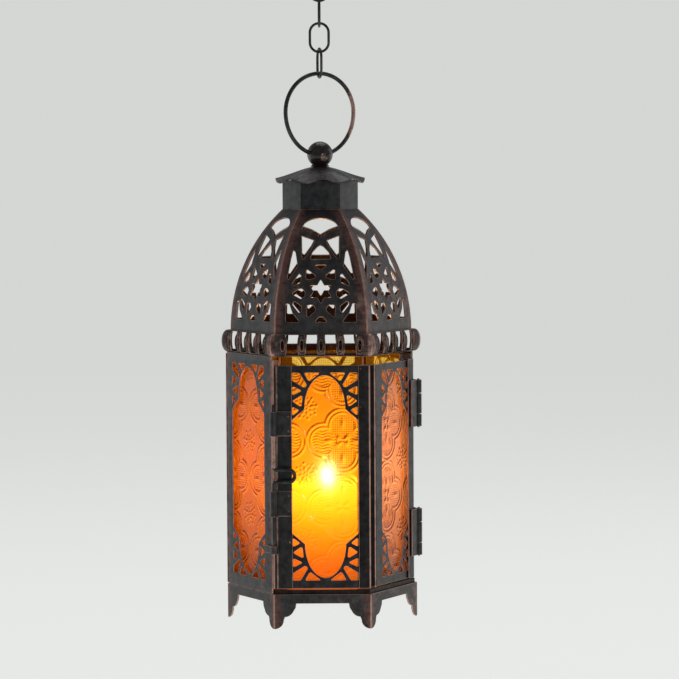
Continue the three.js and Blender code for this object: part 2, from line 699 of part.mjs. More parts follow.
// Hook: an eye round the last link, and an open hook above it, in the YZ plane.
function chainHook(bottom) {
  const eyeHeight = bottom + HOOK_WIRE + HOOK_EYE_RADIUS;
  const hookHeight = eyeHeight + HOOK_EYE_RADIUS + HOOK_RADIUS;
  const points = [
    ...arcPoints(0, eyeHeight, HOOK_EYE_RADIUS, HOOK_EYE_RADIUS, 150, 450, 12),
    ...arcPoints(0, hookHeight, HOOK_RADIUS, HOOK_RADIUS, 270, -20, 14).slice(1),
  ];
  return wire(points.map(([y, z]) => new THREE.Vector3(0, y, z)), HOOK_WIRE, 6);
}

// Candle with a slightly sunken top; the wick stands in a hollow at its middle.
function candle() {
  const bottom = TRAY_FLOOR + SHEET + GAP;
  const profile = [
    [0, bottom],
    [CANDLE_RADIUS - CANDLE_CHAMFER, bottom],
    [CANDLE_RADIUS, bottom + CANDLE_CHAMFER],
    [CANDLE_RADIUS, CANDLE_TOP - CANDLE_CHAMFER],
    [CANDLE_RADIUS - CANDLE_CHAMFER, CANDLE_TOP],
    [CANDLE_RADIUS - 4, CANDLE_TOP - 1.2],
    [WICK_HOLE.radius, CANDLE_TOP - 2.8],
    [WICK_HOLE.radius, CANDLE_TOP - WICK_HOLE.depth],
    [0, CANDLE_TOP - WICK_HOLE.depth],
  ].map(([radius, z]) => new THREE.Vector2(radius, z));
  return new THREE.LatheGeometry(profile, 24).rotateX(Math.PI / 2);
}

function candleWick() {
  const foot = CANDLE_TOP - WICK_HOLE.depth + GAP;
  const points = [[0, foot], [0, foot + 7], [0.25, foot + 9], [0.9, foot + 10.8], [1.8, foot + 12]];
  return wire(points.map(([x, z]) => new THREE.Vector3(x, 0, z)), WICK_RADIUS, 6);
}

// Assembly
const lantern = new THREE.Group();
const sides = Array.from({ length: 6 }, (_, i) => {
  const side = new THREE.Group();
  side.rotation.z = i * SIXTH;
  lantern.add(side);
  return side;
});
const SIDE_NAMES = ["front", "right_front", "back_right", "back", "back_left", "left_front"];

function add(name, geometry, material, parent = lantern) {
  const mesh = new THREE.Mesh(geometry, material);
  mesh.name = name;
  parent.add(mesh);
  return mesh;
}

add("base_skirt", baseSkirt(), metal(FRAME_METAL));
add("floor_tray", floorTray(), metal(FRAME_METAL));

for (const side of [2, 3, 4, 5]) {
  const leftInset = side === 2 ? HINGE_INSET : PANEL_EDGE;
  add(`panel_${SIDE_NAMES[side]}`, fixedPanel(leftInset, PANEL_EDGE), metal(FRAME_METAL), sides[side]);
  add(`glass_${SIDE_NAMES[side]}`, fixedGlass(leftInset, PANEL_EDGE), glass(), sides[side]);
}

// Door
add(
  "door_latch_stile",
  column(stileShape(LATCH_STILE.outer, LATCH_STILE.inner, LATCH_STILE.lip), DOOR_BOTTOM, DOOR_TOP),
  metal(DOOR_METAL),
);
add("door_front_fretwork", doorFretwork(DOOR_LEAF_LEFT, FRONT_LEAF_RIGHT, FRONT_WINDOW), metal(DOOR_METAL));
add("glass_front", doorGlass(DOOR_LEAF_LEFT, FRONT_LEAF_RIGHT - GAP), glass());
const post = add("door_corner_post", cornerPost(), metal(DOOR_METAL));
post.rotation.z = -SIXTH;
add(
  "door_side_fretwork",
  doorFretwork(DOOR_LEAF_LEFT, SIDE_LEAF_RIGHT, SIDE_WINDOW),
  metal(DOOR_METAL),
  sides[1],
);
add("glass_right_front", doorGlass(DOOR_LEAF_LEFT + GAP, SIDE_LEAF_RIGHT), glass(), sides[1]);
add(
  "door_hinge_stile",
  column(
    stileShape(HINGE_STILE.outer, HINGE_STILE.inner, HINGE_STILE.lip),
    DOOR_BOTTOM,
    DOOR_TOP + HINGE_STILE.above,
  ),
  metal(DOOR_METAL),
  sides[1],
);

for (const [place, hinge] of Object.entries(HINGES)) {
  add(`hinge_${place}_frame_leaf`, hingeLeaf(hinge, false), metal(HARDWARE_METAL));
  add(`hinge_${place}_door_leaf`, hingeLeaf(hinge, true), metal(HARDWARE_METAL));
  add(`hinge_${place}_pin`, hingePin(hinge), metal(HARDWARE_METAL));
}
for (const [place, span] of Object.entries(BRACKETS)) {
  add(`latch_bracket_${place}`, latchBracket(span), metal(HARDWARE_METAL));
}
add("latch_bolt", latchBolt(), metal(HARDWARE_METAL));
add("latch_keeper", latchKeeper(), metal(HARDWARE_METAL));

// Upper works
const { outer, inner, bottom: ringFoot, top: ringTop } = TOP_RING;
add("top_ring", hexRing(outer / COS30, inner / COS30, ringFoot, ringTop), metal(FRAME_METAL));
add("slat_band", slatBand(), metal(FRAME_METAL));
const panel = domePanel();
sides.forEach((side, i) => add(`dome_panel_${SIDE_NAMES[i]}`, panel.clone(), metal(FRAME_METAL), side));
add(
  "neck_collar",
  hexRing(NECK_RADIUS, NECK_RADIUS - SHEET / COS30, domeAt(DOME_ARC_LENGTH)[1] + GAP, NECK_TOP),
  metal(FRAME_METAL),
);
add("top_cap", topCap(), metal(FRAME_METAL));
add("finial_ball", finialBall(), metal(FRAME_METAL));
add("finial_stud", finialStud(), metal(HARDWARE_METAL));
add("finial_nut", finialNut(), metal(HARDWARE_METAL));
add("hanging_ring", hangingRing(), metal(WIRE_METAL));

// Chain: each link's bow passes under the wire above which it hangs, with a little play.
let hangingWireTop = RING_HEIGHT + RING_RADIUS + RING_WIRE;
let hangingWire = RING_WIRE;
LINK_TURNS.forEach((turn, i) => {
  const link = add(`chain_link_${i + 1}`, chainLink(), metal(WIRE_METAL));
  link.rotation.z = turn;
  link.position.z = hangingWireTop - 2 * hangingWire - LINK_PLAY - 2 * LINK_WIRE;
  hangingWireTop = link.position.z + LINK_LENGTH;
  hangingWire = LINK_WIRE;
});
add("chain_hook", chainHook(hangingWireTop - 2 * LINK_WIRE - LINK_PLAY - 2 * HOOK_WIRE), metal(WIRE_METAL));

add("candle", candle(), wax());
add("candle_wick", candleWick(), cotton());

export default lantern;
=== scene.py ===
import json
from math import atan2, copysign, cos, pi, radians, sin, sqrt, tan

import bmesh
import bpy
import numpy as np
from mathutils import Matrix, Vector


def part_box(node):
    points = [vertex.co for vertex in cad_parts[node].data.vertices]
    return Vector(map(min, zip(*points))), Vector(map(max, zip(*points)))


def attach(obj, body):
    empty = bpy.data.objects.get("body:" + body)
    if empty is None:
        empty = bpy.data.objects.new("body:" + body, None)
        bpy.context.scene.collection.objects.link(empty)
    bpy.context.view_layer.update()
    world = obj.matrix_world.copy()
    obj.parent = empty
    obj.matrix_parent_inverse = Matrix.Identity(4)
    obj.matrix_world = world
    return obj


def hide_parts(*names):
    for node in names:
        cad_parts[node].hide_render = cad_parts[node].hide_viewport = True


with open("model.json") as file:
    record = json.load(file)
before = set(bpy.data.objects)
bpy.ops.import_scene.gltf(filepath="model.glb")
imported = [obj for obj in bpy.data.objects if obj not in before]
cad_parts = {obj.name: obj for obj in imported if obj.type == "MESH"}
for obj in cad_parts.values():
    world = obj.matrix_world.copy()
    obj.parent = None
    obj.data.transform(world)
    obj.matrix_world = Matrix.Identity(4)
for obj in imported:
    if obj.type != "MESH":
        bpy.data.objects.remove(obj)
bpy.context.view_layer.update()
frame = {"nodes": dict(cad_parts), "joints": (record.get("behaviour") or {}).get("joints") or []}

MM = 0.001
SIDES = ["front", "right_front", "back_right", "back", "back_left", "left_front"]
SIXTH = pi / 3
COS30 = cos(pi / 6)
TAN30 = tan(pi / 6)


def mm_box(node):
    low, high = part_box(node)
    return low / MM, high / MM


# Driving sizes, from the CAD model
SKIRT_HIGH = mm_box("base_skirt")[1]
RADIUS = SKIRT_HIGH.x
APOTHEM = RADIUS * COS30
HALF_SIDE = RADIUS / 2
BASE_TOP = SKIRT_HIGH.z
PANEL_BOTTOM, PANEL_TOP = (corner.z for corner in mm_box("panel_back"))
DOOR_BOTTOM, DOOR_TOP = (corner.z for corner in mm_box("door_front_fretwork"))
BAND_BOTTOM, BAND_TOP = (corner.z for corner in mm_box("slat_band"))
DOME_BOTTOM = mm_box("dome_panel_front")[0].z
NECK_BOTTOM, NECK_TOP = (corner.z for corner in mm_box("neck_collar"))
NECK_RADIUS = mm_box("neck_collar")[1].x
CAP_RIM = mm_box("top_cap")[1].x
RING_TOP = mm_box("hanging_ring")[1].z
RING_WIRE, RING_RADIUS, RING_DROP = 0.95, 17.8, 19.4
CANDLE_LOW, CANDLE_HIGH = mm_box("candle")
CANDLE_RADIUS = CANDLE_HIGH.x
CANDLE_TOP = CANDLE_HIGH.z

# The direction of the ball's copper patch, which is rubbed-off paint and a painted highlight
BALL_COPPER_AND_HIGHLIGHT = (0.4, -0.88, -0.22)

# Sheet metal. Edges that turn more than SHARP degrees are shaded sharp.
SHEET = 0.8
THIN_SHEET = 0.6
LEAF_SHEET = 0.7
GAP = 0.3
CUT_BEVEL = 0.16
CORNER_BEND = 0.9
FOLD_STEPS = 6
SHARP = 20

# Windows
PANEL_WINDOW = {"centre": -1, "half": 15, "bottom": 21, "top": 119}
FRONT_WINDOW = {"centre": 1.5, "half": 14.9, "bottom": 21.5, "top": 116.3}
SIDE_WINDOW = {"centre": 2.6, "half": 12.3, "bottom": 21.5, "top": 116.3}

# Flanges and tabs of the fixed panels, how far their edges stand in from the corners, the seam bead, and
# the depth of the door's channels
FLANGE_DEPTH = 4.2
FLANGE_BOTTOM, FLANGE_TOP = PANEL_BOTTOM + 2.1, PANEL_TOP - 1
TAB = {"heights": (30, 108), "wide": 4, "tall": 5}
PANEL_EDGE = -0.1
HINGE_INSET = 2
SEAM = {"radius": 43.5, "bead": 0.5}
CHANNEL_DEPTH = 4.6

# One corner of a window's fretwork: [distance from the window's middle line, distance from its end]
ARCH = {"half": 9.2, "start": 1.6, "spring": 16.9}
SHOULDER = (14.9, 21.8)
FRET_HALF = 14.9
FRETS = [
    [(2.5, 0.4), (9.3, 0.4), (7.6, 3.5), (6.8, 4.1), (6.2, 3.6), (2.8, 1)],
    [(11.4, 0.4), (14.7, 0.4), (14.7, 3.7), (9.6, 6.9), (8.5, 6.7), (8.2, 5.7)],
    [(10.3, 8.5), (14, 6.7), (14.7, 6.9), (14.7, 10.1), (14, 10.2)],
    [(10, 11), (10.8, 10.8), (14.6, 13.1), (11.3, 15.4), (10.5, 15.3)],
    [(11.5, 17.3), (14.7, 15.7), (14.7, 19.8)],
]

# Dome: each panel is bent to an arc. Its openings: [distance from the middle line, distance up the arc]
DOME_ARC_RADIUS = 76.2
DOME_ARC_CENTRE = RADIUS - 2.2 - DOME_ARC_RADIUS
DOME_ARC_LENGTH = 62.6
DOME_ROWS = 26
STAR = {"height": 19.6, "points": 6, "outer": 5.6, "inner": 3.2}
DOME_ARCH = {"foot": 46.3, "spring": 51.2, "half": 8.1, "rise": 6.1, "bow": (4.05, 49.3)}
DOME_MIDDLE_OPENINGS = [
    [(-4.8, 35), (4.8, 35), (3.6, 38.5), (1.2, 41.4), (0, 42.1), (-1.2, 41.4), (-3.6, 38.5)],
    [(-3.2, 32.1), (0, 29.7), (3.2, 32.1)],
    [(-2.9, 5.6), (2.9, 5.6), (0.9, 7.9), (-0.9, 7.9)],
]
DOME_SIDE_OPENINGS = [
    [(8.6, 47.2), (2.7, 44.6), (2.9, 43.2), (4.7, 39.4), (7.6, 34.9), (8.5, 35.8)],
    [(12.2, 39.6), (11.3, 38.6), (10.4, 31.5), (14.4, 25.3), (15.1, 25.4), (13.4, 34.5)],
    [(5.6, 29.8), (6.6, 29.6), (6.6, 25.4), (5, 25.1), (2.7, 25.9), (2.3, 27)],
    [(8.8, 27.2), (9.7, 27.9), (12.9, 23.2), (12.5, 22.2), (9, 23.8)],
    [(7, 19.3), (8.4, 20.9), (10.1, 20.6), (13.2, 18.6), (9, 16.2), (7.3, 17.4)],
    [(8.8, 12.9), (11.6, 15), (12.6, 14.6), (12.6, 13.4), (9.9, 9.9), (8.8, 10.4)],
    [(14.2, 13.9), (15.7, 13.9), (15.9, 5.6), (9.5, 5.6), (12.9, 9.9)],
    [(2.5, 11.8), (3.6, 13.4), (6.1, 13.3), (6.5, 12.3), (6.2, 8.2), (5.6, 8), (2.7, 10.6)],
]

# Slatted band
BAND_EDGE_RADIUS = 42.9
BAND_BULGE = 2.2
BAND_CORNER = {"more": 0.9, "reach": 1.7}
BAND_PITCH = 8.7
BAND_GAP = {"half_height": 4.55, "lift": 0.15, "waist": 2.35, "ends": 3.2}
BAND_EYE, BAND_EYE_RING, BAND_EYE_WIRE = (0.8, 2.6), (1.45, 3.7), 0.55

# Pressed glass: medallions of four lobes, with a flower in the middle of each four of them. Along the first
# direction two lobes are hatched, along the second two are dotted. On the door's front leaf the first
# direction is level, on the other panes it is upright.
GLASS_PITCH = (33.0, 30.0)
LOBE_DISTANCE = (8.5, 6.7)
LOBE_RADIUS = (6.1, 6.0)
LOBE_BORDER = 1.7
RELIEF = 0.5
GLASS_GRID = 0.36
# Strength of the painted light and shade on the pattern's slopes
PAINTED_RELIEF_SHADING = 1.7
MEDALLIONS = {
    "front": (9.5, 85.0),
    "right_front": (-3.0, 58.0),
    "back_right": (4.0, 72.0),
    "back": (-8.0, 80.0),
    "back_left": (12.0, 65.0),
    "left_front": (12.5, 66.5),
}

# The flame seen through the front pane: its painted halo, the heights between which the glowing wax
# # takes out most of the pattern's painted light and shade, and how far the glass's painted glow reaches
PAINTED_HALO = {"x": 2.6, "z": 69.3, "wide": 4.0, "tall": 6.0, "spread": 11.0}
CALM = {"bottom": 18.0, "top": 65.0, "share": 0.86}
PAINTED_GLOW = {"middle": (2.0, 0.0, 66.0), "reach": 37.0}

# Studio, in metres except the camera, which stands where the photo's did
CAMERA = {"place": (-0.48, -1431.5, 220.3), "yaw": -0.36, "pitch": -3.67, "roll": -0.32, "lens": 164.9}
FLOOR = {"left": -16.0, "right": 16.0, "near": -1.0, "far": 16.0, "level": -0.12}
LAMPS_AIM = (0, 0, 0.12)
LAMPS = {
    "left_softbox": ((-1.5, 0.85, 0.35), (1.4, 1.6), 2.6, (0.95, 0.98, 1.0)),
    "right_softbox": ((1.5, 0.85, 0.35), (1.4, 1.6), 4.5, (1.0, 0.98, 0.97)),
    "top_softbox": ((0.1, 0.5, 1.6), (1.2, 1.2), 6, (1, 1, 1)),
    "front_glint": ((0.55, -1.4, 0.26), (0.26, 0.05), 1.5, (1, 1, 1)),
}


# ---- outlines


def arc_points(cx, cy, rx, ry, start, end, steps):
    """Points on an ellipse's arc, with the angles in degrees."""
    angles = np.radians(np.linspace(start, end, steps + 1))
    return [(cx + rx * cos(a), cy + ry * sin(a)) for a in angles]


def polar(reach, angle):
    return (reach * cos(angle), reach * sin(angle))


def rounded(points, radius, steps=4):
    """The closed outline with its sharp corners rounded."""
    smooth = []
    count = len(points)
    for i, point in enumerate(points):
        here = Vector(point)
        before = Vector(points[i - 1]) - here
        after = Vector(points[(i + 1) % count]) - here
        turn = pi - before.angle(after)
        if turn < radians(25):
            smooth.append(tuple(here))
            continue
        reach = min(radius * tan(turn / 2), 0.42 * before.length, 0.42 * after.length)
        start = here + before.normalized() * reach
        end = here + after.normalized() * reach
        for k in range(steps + 1):
            t = k / steps
            smooth.append(tuple(start * (1 - t) ** 2 + here * (2 * t * (1 - t)) + end * t**2))
    return smooth


def rectangle(x0, x1, y0, y1):
    return [(x0, y0), (x1, y0), (x1, y1), (x0, y1)]


def lean_in(x, depth):
    """The plan point a depth behind the front face, along the bisector of the nearer corner."""
    return (x - copysign(depth * TAN30, x), -APOTHEM + depth)


def window_openings(window, sideways_offset=0.0):
    """The clear middle with its arched ends, and the small openings in the four corners."""
    narrow = window["half"] / FRET_HALF
    rise = ARCH["spring"] - ARCH["start"]
    quarter = arc_points(0, ARCH["spring"], ARCH["half"], rise, 0, -90, 12)

    def placed(points, sideways, end):
        return [
            (
                sideways_offset + window["centre"] + sideways * across * narrow,
                window["top"] - along if end > 0 else window["bottom"] + along,
            )
            for across, along in points
        ]

    contour = []
    for sideways, end in ((1, -1), (1, 1), (-1, 1), (-1, -1)):
        run = placed([SHOULDER, *quarter], sideways, end)
        contour += run if sideways * end > 0 else run[:-1][::-1]
    corners = [
        rounded(placed(fret, sideways, end), 0.55)
        for sideways in (1, -1)
        for end in (1, -1)
        for fret in FRETS
    ]
    return [contour, *corners]


# ---- shells of points and faces


class Shell:
    """Points in millimetres, and faces. Each face has its wear, how worn its paint is, which on a few parts
    also paints a highlight, and its inner, how far it counts as facing in, which paints shade on it."""

    def __init__(self, points, faces, wear_and_highlight=0.0, inner=0.0):
        self.points = np.asarray(points, float).reshape(-1, 3)
        self.faces = [tuple(face) for face in faces]
        self.wear_and_highlight = np.broadcast_to(wear_and_highlight, len(self.faces)).astype(float)
        self.inner = np.broadcast_to(inner, len(self.faces)).astype(float)

    def __add__(self, other):
        shift = len(self.points)
        faces = self.faces + [tuple(i + shift for i in face) for face in other.faces]
        points = np.vstack([self.points, other.points])
        return Shell(
            points,
            faces,
            np.concatenate([self.wear_and_highlight, other.wear_and_highlight]),
            np.concatenate([self.inner, other.inner]),
        )

    def middles(self):
        return np.array([self.points[list(face)].mean(axis=0) for face in self.faces])

    def mapped(self, place):
        """The same faces on points that place gives, from columns x, y and z to three columns."""
        x, y, z = place(*self.points.T)
        points = np.stack([x, y, z], axis=1)
        return Shell(points, self.faces, self.wear_and_highlight, self.inner)

    def moved(self, dx=0.0, dy=0.0, dz=0.0):
        return self.mapped(lambda x, y, z: (x + dx, y + dy, z + dz))

    def turned(self, angle):
        c, s = cos(angle), sin(angle)
        return self.mapped(lambda x, y, z: (c * x - s * y, s * x + c * y, z))


def flat_sheet(outer, holes, thickness, bevel=CUT_BEVEL, cuts_x=(), cuts_y=()):
    """A pierced sheet with rounded-over cut edges: x and y in its plane, its outer face at z = 0."""
    curve = bpy.data.curves.new("sheet", "CURVE")
    curve.dimensions = "2D"
    curve.fill_mode = "BOTH"
    curve.extrude = thickness / 2 - bevel
    curve.bevel_depth = bevel
    curve.bevel_resolution = 1
    curve.offset = -bevel
    for points in (outer, *holes):
        spline = curve.splines.new("POLY")
        spline.points.add(len(points) - 1)
        spline.points.foreach_set("co", [c for x, y in points for c in (x, y, 0, 1)])
        spline.use_cyclic_u = True
    holder = bpy.data.objects.new("sheet", curve)
    bpy.context.scene.collection.objects.link(holder)
    evaluated = holder.evaluated_get(bpy.context.evaluated_depsgraph_get())
    mesh = bpy.data.meshes.new_from_object(evaluated)
    bm = bmesh.new()
    bm.from_mesh(mesh)
    bpy.data.objects.remove(holder)
    bpy.data.curves.remove(curve)
    bpy.data.meshes.remove(mesh)
    bmesh.ops.remove_doubles(bm, verts=bm.verts, dist=1e-4)
    bmesh.ops.translate(bm, verts=bm.verts, vec=(0, 0, -thickness / 2))
    for cuts, normal in ((cuts_x, Vector((1, 0, 0))), (cuts_y, Vector((0, 1, 0)))):
        for at in cuts:
            everything = [*bm.verts, *bm.edges, *bm.faces]
            bmesh.ops.bisect_plane(bm, geom=everything, dist=1e-5, plane_co=normal * at, plane_no=normal)
    bm.normal_update()
    bm.verts.index_update()
    points = [tuple(v.co) for v in bm.verts]
    faces = [tuple(v.index for v in f.verts) for f in bm.faces]
    upward = np.array([f.normal.z for f in bm.faces])
    bm.free()
    # Faces on the sheet's back count as looking in, which gives them painted shade
    return Shell(points, faces, wear_and_highlight=np.abs(upward) < 0.99, inner=upward < -0.99)


class Fold:
    """A line in plan with straights and round corners. A sheet wraps along it with its outer face on the
    right of the line, which is outside where the line goes round the lantern counterclockwise."""

    def __init__(self, points, radius):
        points = [Vector(p) for p in points]
        headings = [atan2(*(b - a).yx) for a, b in zip(points, points[1:])]
        self.runs = []
        at, length = points[0], 0.0
        for i, heading in enumerate(headings):
            last = i == len(headings) - 1
            turn = 0.0 if last else (headings[i + 1] - heading + pi) % (2 * pi) - pi
            cut = radius * tan(abs(turn) / 2)
            end = points[i + 1] - Vector(polar(1, heading)) * cut
            straight = (end - at).length
            self.runs.append((length, straight, tuple(at), heading, 0.0))
            length += straight
            at = end
            if not last:
                curvature = copysign(1 / radius, turn)
                bend = abs(turn) * radius
                self.runs.append((length, bend, tuple(at), heading, curvature))
                length += bend
                at = points[i + 1] + Vector(polar(1, headings[i + 1])) * cut
        self.length = length
        self.middles = [start + run / 2 for start, run, _, _, k in self.runs if k == 0]

    def cuts(self):
        """Where a sheet is divided so that it can bend: at the ends and inside of each round corner."""
        return [
            start + run * step / FOLD_STEPS
            for start, run, _, _, curvature in self.runs
            if curvature
            for step in range(FOLD_STEPS + 1)
        ]

    def place(self, s, out):
        """Plan coordinates of points a distance s along the line and a distance out to its right."""
        x, y = np.zeros_like(s), np.zeros_like(s)
        for i, (start, run, origin, heading, curvature) in enumerate(self.runs):
            low = -np.inf if i == 0 else start
            high = np.inf if i == len(self.runs) - 1 else start + run
            here = (s >= low) & (s <= high)
            u = s[here] - start
            angle = heading + curvature * u
            if curvature:
                along_x = (np.sin(angle) - sin(heading)) / curvature
                along_y = (cos(heading) - np.cos(angle)) / curvature
            else:
                along_x, along_y = u * cos(heading), u * sin(heading)
            x[here] = origin[0] + along_x + out[here] * np.sin(angle)
            y[here] = origin[1] + along_y - out[here] * np.cos(angle)
        return x, y

    def wrap(self, sheet, bulge=None, crease=0.8):
        """The flat sheet, with x along the line and y its height, bent along the line. bulge gives how far
        out each height stands, and crease how rubbed the round corners are."""

        def bent(s, height, out):
            x, y = self.place(s, out if bulge is None else out + bulge(height, s))
            return x, y, height

        middles = sheet.middles()[:, 0]
        wear_and_highlight = sheet.wear_and_highlight.copy()
        for start, run, _, _, curvature in self.runs:
            if curvature > 0:
                wear_and_highlight[(middles > start) & (middles < start + run)] = crease
        shell = sheet.mapped(bent)
        shell.wear_and_highlight = np.maximum(shell.wear_and_highlight, wear_and_highlight)
        return shell


def hexagon_fold(radius, bend=CORNER_BEND):
    """Once round the hexagon, starting and ending in the middle of the back."""
    corners = [polar(radius, radians(120 + 60 * i)) for i in range(6)]
    middle = (0, radius * COS30)
    return Fold([middle, *corners, middle], bend)


def wire(points, radius, sides=14, closed=False):
    """A round wire through the points, with domed ends unless it is closed."""
    path = np.asarray(points, float)
    if not closed:
        steps = np.linspace(0.15, 1, 4)
        first, last = path[0] - path[1], path[-1] - path[-2]
        first, last = first / np.linalg.norm(first), last / np.linalg.norm(last)
        domes = radius * np.sin(steps * pi / 2)
        before, after = [path[0] + first * d for d in domes[::-1]], [path[-1] + last * d for d in domes]
        path = np.vstack([before, path, after])
        ends = radius * np.cos(steps * pi / 2)
        radii = np.concatenate([ends[::-1], np.full(len(path) - 8, radius), ends])
        radii = np.maximum(radii, radius * 0.02)
        ahead = np.gradient(path, axis=0)
    else:
        radii = np.full(len(path), radius)
        ahead = np.roll(path, -1, axis=0) - np.roll(path, 1, axis=0)
    ahead /= np.linalg.norm(ahead, axis=1)[:, None]
    side = np.cross(ahead[0], (0.31, 0.17, 0.93))
    rings = []
    for here, direction, size in zip(path, ahead, radii):
        side = side - direction * (side @ direction)
        side = side / np.linalg.norm(side)
        up = np.cross(direction, side)
        for k in range(sides):
            a = 2 * pi * k / sides
            rings.append(here + size * (cos(a) * side + sin(a) * up))
    count = len(path)
    faces = []
    for i in range(count if closed else count - 1):
        for k in range(sides):
            a, b = i * sides + k, i * sides + (k + 1) % sides
            c, d = (i + 1) % count * sides + (k + 1) % sides, (i + 1) % count * sides + k
            faces.append((a, b, c, d))
    if not closed:
        faces.append(tuple(range(sides))[::-1])
        faces.append(tuple((count - 1) * sides + k for k in range(sides)))
    return Shell(rings, faces)


def lathe(profile, segments=64):
    """A profile of (radius, height) turned round the vertical axis. It starts on the axis, or closes."""
    points, rings = [], []
    for r, z in profile:
        if r == 0:
            rings.append([len(points)] * segments)
            points.append((0, 0, z))
        else:
            rings.append([len(points) + k for k in range(segments)])
            points += [(*polar(r, 2 * pi * k / segments), z) for k in range(segments)]
    if profile[0][0]:
        rings.append(rings[0])
    faces = []
    for low, high in zip(rings, rings[1:]):
        for k in range(segments):
            nxt = (k + 1) % segments
            corner = [low[k], low[nxt], high[nxt], high[k]]
            face = tuple(dict.fromkeys(corner))
            if len(face) > 2:
                faces.append(face)
    return Shell(points, faces)


def tube(x, y, outer, inner, bottom, top, segments=28):
    """A short upright tube with rounded rims, where its paint is worn."""
    edge = 0.15
    profile = [(inner, bottom + edge), (inner + edge, bottom), (outer - edge, bottom), (outer, bottom + edge)]
    profile += [(outer, top - edge), (outer - edge, top), (inner + edge, top), (inner, top - edge)]
    shell = lathe(profile, segments).moved(x, y)
    for row in (0, 1, 2, 4, 5, 6):
        shell.wear_and_highlight[row * segments : (row + 1) * segments] = 1
    return shell


def plate_on_face(x0, x1, bottom, top, front, thickness, corner=0.6):
    """A flat leaf standing on the front side, with its outer face at y = front."""
    sheet = flat_sheet(rounded(rectangle(x0, x1, bottom, top), corner), [], thickness)
    return sheet.mapped(lambda x, height, out: (x, front - out, height))


def dimple(x, z, front, radius=0.55):
    """A spot weld's small dome on the front side."""
    angles = np.linspace(-0.5, pi / 2, 7)[:-1]
    dome = [(radius * cos(a), 0.45 * radius * sin(a)) for a in angles]
    shell = lathe([(0, -0.3 * radius), *dome, (0, 0.45 * radius)], 14)
    shell.wear_and_highlight[:] = 0.7
    return shell.mapped(lambda a, b, c: (x + a, front - c, z + b))


def folded_strip(points, bend, bottom, top, crease=0.8, corner=0.3):
    """An upright strip of thin sheet, folded along the points in plan."""
    fold = Fold(points, bend)
    outline = rectangle(0, fold.length, bottom, top)
    if corner:
        outline = rounded(outline, corner)
    return fold.wrap(flat_sheet(outline, [], THIN_SHEET, cuts_x=fold.cuts()), crease=crease)


# ---- pieces


def store(mesh, name, domain, values):
    layer = mesh.attributes.new(name, "FLOAT", domain)
    layer.data.foreach_set("value", np.asarray(values, np.float32))


def piece(name, shell, body, slot, material, replaced=(), sharp=SHARP):
    """One Blender object that stands for the CAD nodes it replaces. Edges over sharp degrees stay sharp."""
    mesh = bpy.data.meshes.new(name)
    mesh.from_pydata((shell.points * MM).tolist(), [], shell.faces)
    store(mesh, "wear_and_highlight", "FACE", shell.wear_and_highlight)
    store(mesh, "inner", "FACE", shell.inner)
    mesh.polygons.foreach_set("use_smooth", [True] * len(mesh.polygons))
    mesh.set_sharp_from_angle(angle=radians(sharp))
    mesh.materials.append(material)
    mesh.update()
    made = bpy.data.objects.new(name, mesh)
    bpy.context.scene.collection.objects.link(made)
    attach(made, body)
    if replaced:
        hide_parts(*replaced)
    return made


def stand_in(node, suffix, shell, body, look, sharp=SHARP):
    """The piece that replaces one CAD node and is named after it. Its look is its slot and its material."""
    return piece(f"{node}_{suffix}", shell, body, *look, [node], sharp)


# ---- materials


class Nodes:
    """The node tree of a new material, or of the world, and short calls that add nodes to it."""

    def __init__(self, name, owner=None):
        self.owner = owner or bpy.data.materials.new(name)
        self.owner.use_nodes = True
        self.tree = self.owner.node_tree
        self.tree.nodes.clear()

    def add(self, kind, inputs=None, **settings):
        node = self.tree.nodes.new("ShaderNode" + kind)
        for key, value in settings.items():
            setattr(node, key, value)
        for key, value in (inputs or {}).items():
            if isinstance(value, bpy.types.NodeSocket):
                self.tree.links.new(value, node.inputs[key])
            else:
                node.inputs[key].default_value = value
        return node

    def place(self):
        return self.add("TexCoord").outputs["Object"]

    def noise(self, scale, detail=3.0, roughness=0.55, vector=None, distortion=0.0):
        inputs = {"Scale": scale, "Detail": detail, "Roughness": roughness, "Distortion": distortion}
        inputs["Vector"] = vector or self.place()
        return self.add("TexNoise", inputs).outputs["Fac"]

    def attribute(self, name):
        return self.add("Attribute", attribute_name=name).outputs["Fac"]

    def math(self, operation, a, b=0.0, third=0.0):
        return self.add("Math", {0: a, 1: b, 2: third}, operation=operation).outputs[0]

    def times(self, a, b):
        return self.math("MULTIPLY", a, b)

    def plus(self, a, b):
        return self.math("ADD", a, b)

    def minus(self, a, b):
        return self.math("SUBTRACT", a, b)

    def vector(self, operation, inputs):
        """A vector operation: its number where it gives one, else its vector."""
        outputs = self.add("VectorMath", inputs, operation=operation).outputs
        return outputs["Value" if operation in ("LENGTH", "DISTANCE") else "Vector"]

    def height(self, vector=None):
        return self.add("SeparateXYZ", {"Vector": vector or self.place()}).outputs["Z"]

    def level(self, low, high, noise, unevenness):
        """How far up a point is between two heights in millimetres, from 0 to 1, made uneven by a noise."""
        level = self.math("DIVIDE", self.minus(self.height(), low * MM), (high - low) * MM)
        return self.plus(level, self.times(self.minus(noise, 0.5), unevenness))

    def ramp(self, value, stops):
        node = self.add("ValToRGB", {"Fac": value})
        elements = node.color_ramp.elements
        while len(elements) < len(stops):
            elements.new(0.5)
        for element, (position, colour) in zip(elements, stops):
            element.position = position
            element.color = (*colour, 1) if isinstance(colour, tuple) else (colour, colour, colour, 1)
        return node.outputs["Color"]

    def mix(self, factor, a, b, blend="MIX"):
        a, b = ((*colour, 1) if isinstance(colour, tuple) else colour for colour in (a, b))
        node = self.add("Mix", {"Factor": factor, 6: a, 7: b}, data_type="RGBA", blend_type=blend)
        return node.outputs[2]

    def bump(self, height, distance, strength=1.0):
        inputs = {"Height": height, "Distance": distance, "Strength": strength}
        return self.add("Bump", inputs).outputs["Normal"]

    def output(self, shader):
        self.add("OutputMaterial", {"Surface": shader})
        return self.owner

    def surface(self, inputs):
        return self.output(self.add("BsdfPrincipled", inputs).outputs[0])


